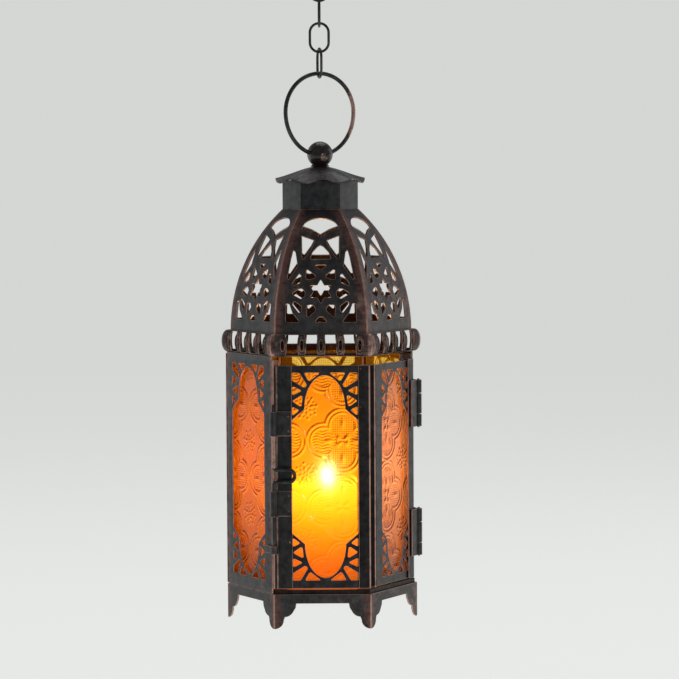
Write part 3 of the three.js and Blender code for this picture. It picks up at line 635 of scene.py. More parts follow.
def antique_metal(
    name, paint, brown, wear_and_highlight=1.0, roughness=0.42, patches=0.3, specular=0.5, corners=0.0, pitting=1.0
):
    """Near-black bronze paint with brown patches, rubbed through to copper where a face's wear value says so,
    and beside the hexagon's corners, which are found from the place round the vertical axis. On a few parts
    that copper is a painted highlight. Faces that look inwards, and faces in a recess, get painted shade:
    browner and duller."""
    n = Nodes(name)
    place = n.place()
    broad = n.noise(38.0, 3.0, vector=place)
    mottle = n.noise(260.0, 6.0, 0.68, vector=place)
    fine = n.noise(1500.0, 4.0, 0.6, vector=place)
    grit = n.noise(700.0, 3.0, 0.62, vector=place)
    inner = n.attribute("inner")

    apart = n.add("SeparateXYZ", {"Vector": place}).outputs
    angle = n.math("ARCTAN2", apart["Y"], apart["X"])
    turn = n.times(n.math("WRAP", n.math("DIVIDE", angle, SIXTH), 0.5, third=-0.5), SIXTH)
    level = n.add("CombineXYZ", {"X": apart["X"], "Y": apart["Y"]}).outputs[0]
    beside = n.math("ABSOLUTE", n.times(n.vector("LENGTH", {0: level}), n.math("SINE", turn)))
    line = n.times(n.ramp(n.times(beside, 500.0), [(0.12, 1.0), (0.42, 0.0)]), corners)
    line = n.times(line, n.ramp(n.times(apart["Z"], 5.0), [(0.78, 1.0), (0.95, 0.35)]))
    strip = n.times(n.ramp(n.times(beside, 120.0), [(0.0, 1.0), (0.6, 0.0)]), corners)

    painted = n.mix(n.ramp(broad, [(0.42, 0.0), (0.66, 1.0)]), paint, brown)
    speckled = n.plus(n.times(grit, 0.6), n.times(mottle, 0.4))
    rust = n.ramp(n.plus(n.times(strip, 0.22), speckled), [(0.55, 0.0), (0.62, 1.0)])
    painted = n.mix(n.times(rust, strip), painted, (0.13, 0.044, 0.030))
    # Painted shade: faces that look in or lie in a recess are mixed towards dark brown, and their specular is
    # lowered
    painted = n.mix(n.times(inner, 0.85), painted, (0.022, 0.007, 0.004))
    # Copper where the paint is worn, and on a few parts a painted highlight
    copper_wear_and_highlight = n.math("MAXIMUM", n.times(n.attribute("wear_and_highlight"), wear_and_highlight), line)
    copper_wear_and_highlight = n.ramp(n.plus(n.times(copper_wear_and_highlight, 0.62), n.times(mottle, 0.75)), [(0.74, 0.0), (1.02, 1.0)])
    patch = n.ramp(n.plus(n.times(broad, 0.6), n.times(mottle, 0.6)), [(0.70, 0.0), (0.82, 1.0)])
    copper_wear_and_highlight = n.math("MAXIMUM", copper_wear_and_highlight, n.times(patch, patches))
    copper = n.mix(fine, (0.36, 0.19, 0.145), (0.66, 0.45, 0.38))
    sheen = n.ramp(mottle, [(0.38, 0.6 * specular), (0.62, 1.4 * specular)])
    height = n.plus(n.times(fine, 0.6), n.times(mottle, 0.8))
    return n.surface(
        {
            "Base Color": n.mix(copper_wear_and_highlight, painted, copper),
            "Roughness": n.plus(n.times(mottle, 0.28), roughness - 0.14),
            "Metallic": n.times(copper_wear_and_highlight, 0.85),
            "Specular IOR Level": n.times(sheen, n.minus(1.0, n.times(inner, 0.7))),
            "Normal": n.bump(height, 0.00006 * pitting, 0.6),
        }
    )


def amber_glass(name, tint, haze, glow, gloss, frost=0.12):
    """Amber pressed glass with painted light and shade on the slopes of its pattern, darker on one side and
    lighter with whitish painted highlights on the other. It has a painted glow, strongest near the flame, and
    a painted halo where the flame shows; lamps shine through it. tint, haze and glow are its colours by
    transmission, scatter and painted glow."""
    n = Nodes(name)
    place = n.place()
    streaks = n.noise(60.0, 4.0, 0.6, vector=place, distortion=0.8)
    grain = n.noise(900.0, 3.0, 0.6, vector=place)
    shade = n.plus(n.attribute("painted_relief_shading"), n.times(n.minus(streaks, 0.5), 0.25))
    depth = n.ramp(shade, [(0.0, 0.05), (0.36, 0.80), (0.6, 0.95), (1.0, 1.6)])
    painted_relief_tint = [(0.0, (0.26, 0.10, 0.06)), (0.36, (0.90, 0.84, 0.8)), (0.62, 1.0), (1.0, (1.2, 1.9, 3.4))]
    painted_relief_tint = n.ramp(shade, painted_relief_tint)

    # Painted glow: the glass itself glows, strongest near the flame and dimmer low down
    away = n.vector("DISTANCE", {0: place, 1: Vector(PAINTED_GLOW["middle"]) * MM})
    near = n.math("POWER", n.math("DIVIDE", PAINTED_GLOW["reach"] * MM, away), 1.5)
    low = n.math("MINIMUM", n.times(n.plus(n.height(place), 0.02), 12.5), 1.0)
    painted_glow_colour = n.mix(1.0, glow, depth, blend="MULTIPLY")
    painted_glow_colour = n.vector("SCALE", {0: painted_glow_colour, "Scale": n.times(near, low)})
    # Painted halo where the flame shows through the front pane
    painted_halo = n.attribute("painted_halo")
    painted_burst = n.vector("SCALE", {0: n.mix(painted_halo, (0.45, 0.26, 0.02), (1.0, 0.98, 0.9)), "Scale": painted_halo})
    clear = n.add(
        "BsdfPrincipled",
        {
            "Base Color": n.mix(1.0, tint, painted_relief_tint, blend="MULTIPLY"),
            "Roughness": n.ramp(streaks, [(0.2, 0.10), (0.8, 0.18)]),
            "Transmission Weight": 1.0,
            "IOR": 1.45,
            "Specular IOR Level": 0.5 * gloss,
            "Specular Tint": (gloss, gloss, gloss, 1),
            "Normal": n.bump(grain, 0.00005, 0.5),
            "Emission Color": n.vector("ADD", {0: painted_glow_colour, 1: painted_burst}),
            "Emission Strength": 1.0,
        },
    )
    cloudy = n.add("BsdfTranslucent", {"Color": n.mix(1.0, haze, painted_relief_tint, blend="MULTIPLY")})
    glass = n.add("MixShader", {"Fac": frost, 1: clear.outputs[0], 2: cloudy.outputs[0]})
    through = n.add("BsdfTransparent", {"Color": (0.9, 0.4, 0.05, 1)})
    lamp = n.add("LightPath").outputs["Is Shadow Ray"]
    return n.output(n.add("MixShader", {"Fac": lamp, 1: glass.outputs[0], 2: through.outputs[0]}).outputs[0])


def candle_wax(name):
    """Pale wax with a painted glow from the flame, brightest at its top."""
    n = Nodes(name)
    mottle = n.noise(140.0, 4.0)
    glow = [(0.05, (0.13, 0.018, 0.001)), (0.28, (0.25, 0.042, 0.002)), (0.475, (0.46, 0.15, 0.008))]
    glow += [(0.665, (0.78, 0.40, 0.05)), (0.855, (1.0, 0.78, 0.30)), (1.0, (1.0, 0.94, 0.55))]
    return n.surface(
        {
            "Base Color": n.mix(mottle, (0.86, 0.72, 0.47), (0.95, 0.84, 0.62)),
            "Roughness": n.ramp(mottle, [(0.3, 0.42), (0.7, 0.6)]),
            "Emission Color": n.ramp(n.level(CANDLE_LOW.z, CANDLE_TOP, mottle, 0.08), glow),
            "Emission Strength": 2.7,
            "Normal": n.bump(mottle, 0.0003, 0.4),
        }
    )


def flame_glow(name, low, high):
    """A candle flame: bluish at its foot, white-hot in the middle and yellow at its tip."""
    n = Nodes(name)
    level = n.level(low, high, n.noise(400.0, 2.0), 0.1)
    colours = [(0.0, (0.5, 0.4, 0.6)), (0.2, (1.0, 0.85, 0.6)), (0.5, (1.0, 0.95, 0.85))]
    colours.append((1.0, (1.0, 0.8, 0.4)))
    return n.output(n.add("Emission", {"Color": n.ramp(level, colours), "Strength": 85.0}).outputs[0])


def charred_cotton(name):
    n = Nodes(name)
    strands = n.noise(2500.0, 3.0, 0.7)
    return n.surface(
        {
            "Base Color": n.mix(strands, (0.012, 0.009, 0.008), (0.09, 0.06, 0.04)),
            "Roughness": 0.95,
            "Normal": n.bump(strands, 0.0002, 0.8),
        }
    )


FRAME_METAL = antique_metal("frame_metal", (0.013, 0.012, 0.013), (0.028, 0.017, 0.014), corners=1.0)
DOOR_METAL = antique_metal(
    "door_metal", (0.0068, 0.0067, 0.0074), (0.012, 0.0085, 0.008), patches=0.2, specular=0.38
)
POST_METAL = antique_metal(
    "post_metal", (0.0070, 0.0050, 0.0048), (0.013, 0.008, 0.007), patches=0.2, specular=0.25
)
HARDWARE_METAL = antique_metal(
    "hardware_metal", (0.011, 0.0105, 0.0115), (0.022, 0.014, 0.012), roughness=0.36
)
WIRE_METAL = antique_metal(
    "wire_metal", (0.009, 0.0085, 0.0095), (0.016, 0.010, 0.009), patches=0.25, roughness=0.32
)
NECK_METAL = antique_metal(
    "neck_metal", (0.0080, 0.0080, 0.0090), (0.010, 0.009, 0.009), patches=0.1, wear_and_highlight=0.7, specular=0.42
)
CAP_METAL = antique_metal(
    "cap_metal", (0.036, 0.031, 0.030), (0.060, 0.047, 0.041), roughness=0.3, wear_and_highlight=0.62, pitting=0.25
)
BALL_METAL = antique_metal(
    "ball_metal", (0.012, 0.010, 0.011), (0.028, 0.015, 0.013), patches=0.6, roughness=0.2, pitting=0.12
)
INSIDE_METAL = antique_metal(
    "inside_metal", (0.010, 0.006, 0.005), (0.016, 0.008, 0.006), patches=0.1, specular=0.2
)
# Lit and shaded copies of one amber glass: the front pane's with the strongest painted glow, the left pane's
# deeper in colour, the right pane's with a painted whitish sheen in its tint and haze, and the back panes'
# lighter in tint with little painted glow
AMBER_LIT_AND_SHADED = {
    "front": amber_glass("amber_front", (0.86, 0.31, 0.010), (0.9, 0.32, 0.006), (0.52, 0.23, 0.001), 0.6),
    "left": amber_glass("amber_left", (0.58, 0.19, 0.01), (0.7, 0.22, 0.008), (0.24, 0.052, 0.001), 0.0),
    "right": amber_glass(
        "amber_right", (0.60, 0.24, 0.05), (0.72, 0.38, 0.2), (0.22, 0.092, 0.034), 0.9, frost=0.2
    ),
    "back": amber_glass(
        "amber_back", (0.96, 0.62, 0.09), (0.9, 0.5, 0.06), (0.10, 0.035, 0.0), 0.6, frost=0.05
    ),
}
FRAME = ("frame_metal", FRAME_METAL)
HARDWARE = ("hardware_metal", HARDWARE_METAL)
WIRE = ("wire_metal", WIRE_METAL)


# ---- body


def base_skirt():
    """The scalloped skirt, cut as one strip and folded round the hexagon."""
    fold = hexagon_fold(RADIUS)
    half = [
        (11.9, 11.5),
        (12.2, 9.6),
        *arc_points(17.2, 9.9, 4.4, 4.5, 205, 268, 8),
        *arc_points(21.7, 4, 4.1, 4, 180, 252, 10),
        (20.9, 0),
    ]
    corners = [start + run / 2 for start, run, _, _, curvature in fold.runs if curvature]
    edge = [(0, half[0][1])]
    for corner in corners:
        edge += [(corner - HALF_SIDE + x, z) for x, z in half]
        edge += [(corner + HALF_SIDE - x, z) for x, z in reversed(half)]
    edge.append((fold.length, half[0][1]))
    outline = [*edge, (fold.length, BASE_TOP), (0, BASE_TOP)]
    sheet = flat_sheet(outline, [], SHEET, cuts_x=fold.cuts())
    stand_in("base_skirt", "sheet", fold.wrap(sheet), "frame", FRAME)


def fixed_panel(side, left_inset, right_inset):
    """A fixed side: face and flanges folded from one sheet, pierced by its window, with a tab at each end of
    each flange. The sides left of the door's opening and behind it carry a bead along their left seam."""
    left, right = -HALF_SIDE + left_inset, HALF_SIDE - right_inset
    plan = [lean_in(left, FLANGE_DEPTH), (left, -APOTHEM), (right, -APOTHEM), lean_in(right, FLANGE_DEPTH)]
    fold = Fold(plan, SHEET + 0.1)
    face_bottom, face_top = PANEL_BOTTOM - 0.2, PANEL_TOP + 0.5
    near, far = fold.runs[1][0] + 0.2, fold.runs[3][0]
    outline = [(0, FLANGE_BOTTOM), (near, FLANGE_BOTTOM), (near, face_bottom)]
    outline += [(far, face_bottom), (far, FLANGE_BOTTOM), (fold.length, FLANGE_BOTTOM)]
    outline += [(fold.length, FLANGE_TOP), (far, FLANGE_TOP), (far, face_top)]
    outline += [(near, face_top), (near, FLANGE_TOP), (0, FLANGE_TOP)]
    holes = window_openings(PANEL_WINDOW, fold.middles[1] - (left + right) / 2)
    shell = fold.wrap(flat_sheet(outline, holes, SHEET, cuts_x=fold.cuts()))
    tab_front = -APOTHEM + FLANGE_DEPTH - SHEET
    for edge in (left, right):
        outer = lean_in(edge, FLANGE_DEPTH)[0]
        ends = sorted((outer, outer - copysign(TAB["wide"], edge)))
        for height in TAB["heights"]:
            shell += plate_on_face(*ends, height, height + TAB["tall"], tab_front, SHEET)
    if side > 2:
        corner = (-SEAM["radius"] / 2, -SEAM["radius"] * COS30)
        low, high = PANEL_BOTTOM + SEAM["bead"], PANEL_TOP - SEAM["bead"]
        shell += wire([(*corner, low), (*corner, high)], SEAM["bead"], 12)
    stand_in(f"panel_{SIDES[side]}", "sheet", shell.turned(side * SIXTH), "frame", FRAME)


def ridge(distance, width):
    return np.exp(-((distance / width) ** 2))


def folded(values, pitch):
    """Distances from the nearest repeat of a pattern."""
    return (values + pitch / 2) % pitch - pitch / 2


def bump_at(along, across, long, wide):
    return np.exp(-((along / long) ** 2) - (across / wide) ** 2)


def seen_from(u, v, angle):
    """The same points measured along and across a direction."""
    return u * cos(angle) + v * sin(angle), v * cos(angle) - u * sin(angle)


def relief(u, v):
    """How far the pressed glass stands up at u, v from a medallion's middle: 0 low, 1 high."""
    pu, pv = folded(u, GLASS_PITCH[0]), folded(v, GLASS_PITCH[1])
    hatched = np.hypot(np.abs(pu) - LOBE_DISTANCE[0], pv) - LOBE_RADIUS[0]
    dotted = np.hypot(pu, np.abs(pv) - LOBE_DISTANCE[1]) - LOBE_RADIUS[1]
    edge = np.minimum(hatched, dotted)
    border = 0.6 * ridge(edge, 0.45) + 0.9 * ridge(edge - LOBE_BORDER, 0.55)
    in_dotted = 1 / (1 + np.exp((dotted + 0.9) / 0.15))
    in_hatched = (1 - in_dotted) / (1 + np.exp((hatched + 0.9) / 0.15))
    waves = np.sin(2 * pi * (pv + 0.32 * np.sin(pu * 1.2)) / 1.3)
    lens = ridge(np.hypot((np.abs(pu) - 7.5) / 2.6, pv / 1.3), 0.9)
    dots = np.cos(2 * pi * (pu + pv) / 2.0) * np.cos(2 * pi * (pu - pv) / 2.0)
    height = 0.35 + border + in_hatched * (1 - lens) * 0.34 * waves + in_dotted * 0.45 * dots
    inside = np.maximum(in_dotted, in_hatched)
    for k in range(4):
        along, across = seen_from(pu, pv, k * pi / 2)
        reach = 8.0 if k % 2 else 6.4
        height += 0.9 * inside * bump_at(along - reach, across, 2.0, 0.8)
        along, across = seen_from(pu, pv, k * pi / 2 + pi / 4)
        height += 0.9 * bump_at(along - 2.4, across, 1.2, 0.6)
    fu, fv = folded(u + GLASS_PITCH[0] / 2, GLASS_PITCH[0]), folded(v + GLASS_PITCH[1] / 2, GLASS_PITCH[1])
    for k in range(8):
        along, across = seen_from(fu, fv, k * pi / 4 + 0.2)
        height += 0.9 * bump_at(along - 2.5, across, 1.2, 0.5) + 0.8 * bump_at(along - 4.9, across, 0.6, 0.5)
        height += 0.6 * bump_at(along - 3.9, across - 1.6, 0.4, 0.4)
    height += 0.8 * ridge(np.hypot(fu, fv) - 0.75, 0.35)
    height += 0.06 * np.sin(u * 0.9 + 0.5 * np.sin(v * 0.6)) * np.sin(v * 0.8 + 1.1)
    return np.clip(height, 0, 1.6) / 1.6


def glass_pane(side, body):
    """A pane with the pressed pattern standing up on its outer face, inside its CAD node's box."""
    name = SIDES[side]
    flat = np.array([v.co for v in frame["nodes"][f"glass_{name}"].data.vertices]) / MM
    across, depth = seen_from(flat[:, 0], flat[:, 1], side * SIXTH)
    x0, x1, front, back = across.min(), across.max(), depth.min(), depth.max()
    z0, z1 = flat[:, 2].min(), flat[:, 2].max()
    columns, rows = round((x1 - x0) / GLASS_GRID) + 1, round((z1 - z0) / GLASS_GRID) + 1
    x, z = np.meshgrid(np.linspace(x0, x1, columns), np.linspace(z0, z1, rows))
    across_from, up_from = x - MEDALLIONS[name][0], z - MEDALLIONS[name][1]
    height = relief(across_from, up_from) if side == 0 else relief(up_from, across_from)
    y = front + RELIEF * (1 - height)
    points = np.stack([x, y, z], axis=-1).reshape(-1, 3)
    index = np.arange(rows * columns).reshape(rows, columns)
    quads = [index[:-1, :-1], index[:-1, 1:], index[1:, 1:], index[1:, :-1]]
    faces = np.stack(quads, axis=-1).reshape(-1, 4).tolist()
    rim = [*index[0, :-1], *index[:-1, -1], *index[-1, :0:-1], *index[:0:-1, 0]]
    behind = [(points[i][0], back, points[i][2]) for i in rim]
    first, count = len(points), len(rim)
    for k in range(count):
        beyond = (k + 1) % count
        faces.append((int(rim[beyond]), int(rim[k]), first + k, first + beyond))
    faces.append(tuple(first + k for k in range(count))[::-1])
    shell = Shell(np.vstack([points, behind]), faces).turned(side * SIXTH)
    amber = AMBER_LIT_AND_SHADED[{"front": "front", "left_front": "left", "right_front": "right"}.get(name, "back")]
    pane = piece(f"pane_{name}", shell, body, "amber_glass", amber, [f"glass_{name}"], sharp=60)

    # Painted light and shade on the pattern: lighter on one side of each slope and darker on the other,
    # stronger on the two side panes
    slope_z, slope_x = np.gradient(height, GLASS_GRID)
    painted_relief_shading = PAINTED_RELIEF_SHADING * (0.8 * slope_z - 0.6 * slope_x)
    if side in (1, 5):
        painted_relief_shading *= 1.4
    if side == 0:
        # Most of the painted light and shade is taken out where the wax glows behind the front pane
        beside_wax = 1 / (1 + np.exp((z - CALM["top"]) / 1.6)) / (1 + np.exp((CALM["bottom"] - z) / 2.0))
        painted_relief_shading *= 1 - CALM["share"] * beside_wax
        # The flame's painted halo on the front pane
        sideways, up = x - PAINTED_HALO["x"], z - PAINTED_HALO["z"]
        painted_halo = np.exp(-((sideways / PAINTED_HALO["wide"]) ** 2) - (up / PAINTED_HALO["tall"]) ** 2)
        painted_halo += 0.25 * np.exp(-((np.hypot(sideways, up) / PAINTED_HALO["spread"]) ** 2))
        store(pane.data, "painted_halo", "POINT", [*painted_halo.ravel(), *np.zeros(count)])
    store(pane.data, "painted_relief_shading", "POINT", [*np.clip(0.5 + painted_relief_shading, 0, 1).ravel(), *np.full(count, 0.5)])


def door_frame():
    """The door's stiles, its corner post and the two pierced sheets that they hold."""
    depth = -APOTHEM + CHANNEL_DEPTH
    span = (DOOR_BOTTOM, DOOR_TOP)
    outer, inner, lip = -21.2, -13.4, -14.6
    plan = [(lip, depth), lean_in(outer, CHANNEL_DEPTH), (outer, -APOTHEM), (inner, -APOTHEM)]
    shell = folded_strip(plan, THIN_SHEET + 0.2, *span) + dimple(-14.5, 39.5, -APOTHEM)
    stand_in("door_latch_stile", "channel", shell, "door", ("door_metal", DOOR_METAL))

    outer, inner, lip = 20, 14, 15
    plan = [(inner, -APOTHEM), (outer, -APOTHEM), lean_in(outer, CHANNEL_DEPTH), (lip, depth)]
    shell = folded_strip(plan, THIN_SHEET + 0.2, DOOR_BOTTOM, DOOR_TOP + 0.4).turned(SIXTH)
    stand_in("door_hinge_stile", "channel", shell, "door", ("door_metal", DOOR_METAL))

    def on_front(offset, reach):
        return (HALF_SIDE - offset * TAN30 - reach, -APOTHEM + offset)

    def on_side(offset, reach):
        corner = on_front(offset, 0)
        along = polar(reach, SIXTH)
        return (corner[0] + along[0], corner[1] + along[1])

    notch, inner = 3.6, CHANNEL_DEPTH - THIN_SHEET
    meet = on_side(0, notch / sin(SIXTH))
    edge = HALF_SIDE - 0.1
    plan = [on_front(0, 5.4), (edge, -APOTHEM), (edge, meet[1]), meet, on_side(0, 5.6)]
    post = folded_strip(plan, THIN_SHEET, *span, crease=1.0)
    # Painted shade in the post's groove: its faces are marked as looking in
    groove_painted_shade = np.abs(post.middles()[:, 1] - meet[1]) < 0.1
    post.inner[groove_painted_shade] = 0.8
    plan = [on_front(inner, 3.9), on_front(inner, 0), on_side(inner, 3.9)]
    post += folded_strip(plan, 1.2, *span, crease=1.0)
    for height in (117.5, 100.3, 34.5):
        post += dimple(17.6, height, -APOTHEM, 0.45)
    stand_in("door_corner_post", "folded", post, "door", ("door_metal", POST_METAL))

    front = -APOTHEM + THIN_SHEET + GAP
    leaves = ((0, 18.3, FRONT_WINDOW, "front", DOOR_METAL), (1, 16.9, SIDE_WINDOW, "side", FRAME_METAL))
    for side, right, window, label, metal in leaves:
        sheet = flat_sheet(rectangle(-18.3, right, *span), window_openings(window), THIN_SHEET)
        shell = sheet.mapped(lambda x, height, out: (x, front - out, height)).turned(side * SIXTH)
        stand_in(f"door_{label}_fretwork", "sheet", shell, "door", ("door_metal", metal))


# ---- upper works


def slat_band():
    """The bulging band: a strip with gaps and eyes, and a raised ring round each eye."""
    fold = hexagon_fold(BAND_EDGE_RADIUS, 0.8)
    middle = (BAND_BOTTOM + BAND_TOP) / 2
    half_height = (BAND_TOP - BAND_BOTTOM) / 2

    def gap_outline(x):
        waist, ends = BAND_GAP["waist"], BAND_GAP["ends"]
        right = []
        for t in np.linspace(-1, 1, 9):
            wide = waist + (ends - waist) * (1 - sqrt(1 - 0.96 * t * t))
            right.append((wide, middle + BAND_GAP["lift"] + t * BAND_GAP["half_height"]))
        return [(x + wide, z) for wide, z in right] + [(x - wide, z) for wide, z in right[::-1]]

    starts = [start for start, _, _, _, curvature in fold.runs if curvature]
    ends = [start + run for start, run, _, _, curvature in fold.runs if curvature]
    corners = np.array([(start + end) / 2 for start, end in zip(starts, ends)])

    def bulge(height, s):
        u = np.clip((height - middle) / half_height, -1, 1)
        from_corner = np.min(np.abs(np.asarray(s)[..., None] - corners), axis=-1)
        crest = BAND_BULGE + BAND_CORNER["more"] * np.exp(-((from_corner / BAND_CORNER["reach"]) ** 2))
        return crest * np.sqrt(np.maximum(0, 1 - np.abs(u) ** 2.2))

    centres = [(end + start) / 2 for end, start in zip(ends, starts[1:])]
    gaps, eyes, rings = [], [], []
    for centre in [0.0, *centres, fold.length]:
        for step in (-1.5, -0.5, 0.5, 1.5):
            x = centre + step * BAND_PITCH
            if 0 < x < fold.length:
                gaps.append(rounded(gap_outline(x), 0.5))
        for step in (-2, -1, 0, 1, 2):
            x = centre + step * BAND_PITCH
            if 1.5 < x < fold.length - 1.5:
                eyes.append(arc_points(x, middle, *BAND_EYE, 0, 345, 23))
                rings.append(arc_points(x, middle, *BAND_EYE_RING, 0, 350, 35))
    rows = middle + half_height * np.sin(np.linspace(-pi / 2, pi / 2, 15)[1:-1])
    outline = rectangle(0, fold.length, BAND_BOTTOM, BAND_TOP)
    sheet = flat_sheet(outline, gaps + eyes, SHEET, bevel=0.2, cuts_x=fold.cuts(), cuts_y=rows)
    shell = fold.wrap(sheet, bulge, crease=0.72)
    for oval in rings:
        s, height = np.array(oval).T
        x, y = fold.place(s, bulge(height, s) - 0.1)
        loop = wire(np.stack([x, y, height], axis=1), BAND_EYE_WIRE, 10, closed=True)
        # The rings are worn to copper, which also paints their highlights
        loop.wear_and_highlight[:] = 0.62
        shell += loop
    stand_in("slat_band", "sheet", shell, "frame", FRAME)


def dome_radius(distance):
    return DOME_ARC_CENTRE + DOME_ARC_RADIUS * np.cos(distance / DOME_ARC_RADIUS)


def dome_panels():
    """Six pierced panels, cut flat with curved sides and bent to the dome's arc."""
    heights = np.linspace(0, DOME_ARC_LENGTH, DOME_ROWS + 1)
    half = dome_radius(heights) / 2 - GAP / 2
    outline = [*zip(half, heights), *zip(-half[::-1], heights[::-1])]
    arch = arc_points(0, DOME_ARCH["spring"], DOME_ARCH["half"], DOME_ARCH["rise"], 0, 180, 20)
    star = []
    for i in range(2 * STAR["points"]):
        reach = STAR["inner"] if i % 2 else STAR["outer"]
        angle = i * pi / STAR["points"]
        star.append((reach * sin(angle), STAR["height"] + reach * cos(angle)))
    sides = DOME_SIDE_OPENINGS + [[(-x, d) for x, d in points] for points in DOME_SIDE_OPENINGS]
    bow = DOME_ARCH["bow"]
    holes = [rounded([*arch, (-bow[0], bow[1]), (0, DOME_ARCH["foot"]), bow], 0.8), rounded(star, 0.4)]
    holes += [rounded(points, 0.6) for points in DOME_MIDDLE_OPENINGS + sides]
    sheet = flat_sheet(outline, holes, SHEET, cuts_y=heights[1:-1])

    def bent(x, distance, out):
        angle = distance / DOME_ARC_RADIUS
        scale = np.hypot(np.cos(angle), np.sin(angle) * COS30)
        y = -dome_radius(distance) * COS30 - out * np.cos(angle) / scale
        z = DOME_BOTTOM + DOME_ARC_RADIUS * np.sin(angle) + out * np.sin(angle) * COS30 / scale
        return x, y, np.maximum(z, DOME_BOTTOM)

    panel = sheet.mapped(bent)
    for i, side in enumerate(SIDES):
        stand_in(f"dome_panel_{side}", "sheet", panel.turned(i * SIXTH), "frame", FRAME)


def neck_collar():
    fold = hexagon_fold(NECK_RADIUS, 1.1)
    outline = rectangle(0, fold.length, NECK_BOTTOM - 0.4, NECK_TOP + 0.4)
    shell = fold.wrap(flat_sheet(outline, [], SHEET, cuts_x=fold.cuts()), crease=0.3)
    stand_in("neck_collar", "sheet", shell, "frame", ("frame_metal", NECK_METAL))


def top_cap():
    """The cap's fluted shell: its flutes fade towards the middle."""
    reaches, levels = [1.8, 4.4, 9, 15, CAP_RIM - 0.35], [208.3, 208, 206.5, 204.2, 202.2]
    flutes, flute_height, flute_turn, flute_start = 8, 1.45, radians(3.5), 0.2
    around, along = 192, 30
    r = np.linspace(reaches[0], reaches[-1], along)
    z = np.polyval(np.polyfit(reaches, levels, 3), r)
    lip_r = [CAP_RIM - 0.1, CAP_RIM - 0.02, CAP_RIM - 0.1]
    lip_z = [z[-1] - 0.12, z[-1] - 0.4, z[-1] - 0.7]
    radii = np.concatenate([r, lip_r, r[::-1]])
    heights = np.concatenate([z, lip_z, z[::-1] - SHEET])
    shell = lathe([*zip(radii, heights)], around)
    shell.faces = [face[::-1] for face in shell.faces]
    shell.wear_and_highlight[(along - 2) * around : (along + 3) * around] = 0.9

    def fluted(x, y, height):
        reach = np.hypot(x, y) / CAP_RIM
        flute = np.cos(flutes * (np.arctan2(y, x) - flute_turn))
        return x, y, height + flute_height * flute * np.maximum(0, reach - flute_start) ** 2

    stand_in("top_cap", "shell", shell.mapped(fluted), "frame", ("frame_metal", CAP_METAL))


def finial_ball():
    """A ball on a flared foot that follows the cap, rubbed to copper in one place, which also paints its
    highlight.
    """
    low, high = mm_box("finial_ball")
    radius = high.x
    centre = high.z - radius
    foot = low.z
    profile = [(0, foot), (2.2, foot - 0.1), (4.35, foot - 0.45), (4.45, foot - 0.3), (3.75, foot + 0.3)]
    angles = np.radians(np.linspace(-53, 88, 34))
    profile += [(radius * cos(a), centre + radius * sin(a)) for a in angles]
    shell = lathe([*profile, (0, high.z)], 72)
    # Copper patch: worn paint and a painted highlight
    away = np.linalg.norm((shell.middles() - (0, 0, centre)) / radius - BALL_COPPER_AND_HIGHLIGHT, axis=1)
    shell.wear_and_highlight = np.clip(1.3 - 2.2 * away, 0, 0.7)
    stand_in("finial_ball", "turned", shell, "frame", ("frame_metal", BALL_METAL), sharp=35)


# ---- wirework


def hanging_ring():
    """Round above, a little longer below, and straight where it passes through the ball. Its paint is worn
    to copper on the right, which also paints its highlight there."""
    joint = next(j for j in frame["joints"] if j["name"] == "ring_swing")
    across_x, across_y = joint["axis"][:2]
    held = joint["pos_m"][2] / MM
    middle = RING_TOP - RING_WIRE - RING_RADIUS
    points = []
    for angle in np.linspace(0, 2 * pi, 144, endpoint=False):
        across = RING_RADIUS * cos(angle)
        height = sin(angle) * (RING_DROP if sin(angle) < 0 else RING_RADIUS)
        points.append((across * across_x, across * across_y, max(middle + height, held)))
    shell = wire(points, RING_WIRE, 18, closed=True)
    # Copper on the right arc: worn paint and a painted highlight
    aside = shell.middles()[:, :2] @ (across_x, across_y) * copysign(1, across_x) / RING_RADIUS
    shell.wear_and_highlight = np.clip((aside - 0.7) / 0.2, 0, 0.9)
    stand_in("hanging_ring", "wire", shell, "ring", WIRE)


def chain():
    """Each link is a closed loop of wire, square to the one before but for the first."""
    link_wire, width, first_turn = 0.6, 9.8, 102
    bow = width / 2 - link_wire
    for i in range(1, 5):
        node = f"chain_link_{i}"
        low, high = mm_box(node)
        turn = atan2(high.y - low.y - 2 * link_wire, high.x - low.x - 2 * link_wire)
        if i == 1:
            turn = radians(first_turn)
        shank = (high.z - low.z - width) / 2
        points = []
        for angle in np.linspace(0, 2 * pi, 72, endpoint=False):
            lift = copysign(shank, sin(angle)) if abs(sin(angle)) > 1e-6 else 0
            across, up = polar(bow, angle)
            points.append((*polar(across, turn), (low.z + high.z) / 2 + up + lift))
        stand_in(node, "wire", wire(points, link_wire, 12, closed=True), f"link_{i}", WIRE)


def chain_hook():
    low, high = mm_box("chain_hook")
    size, eye, hook = 0.9, 4.2, 7.0
    eye_height = low.z + size + eye
    hook_height = eye_height + eye + hook
    path = arc_points(0, eye_height, eye, eye, 150, 450, 40)
    path += arc_points(0, hook_height, hook, hook, 270, -17, 56)[1:]
    points = [(0, y, z) for y, z in path]
    stand_in("chain_hook", "wire", wire(points, size * 0.985, 16), "hook", WIRE)


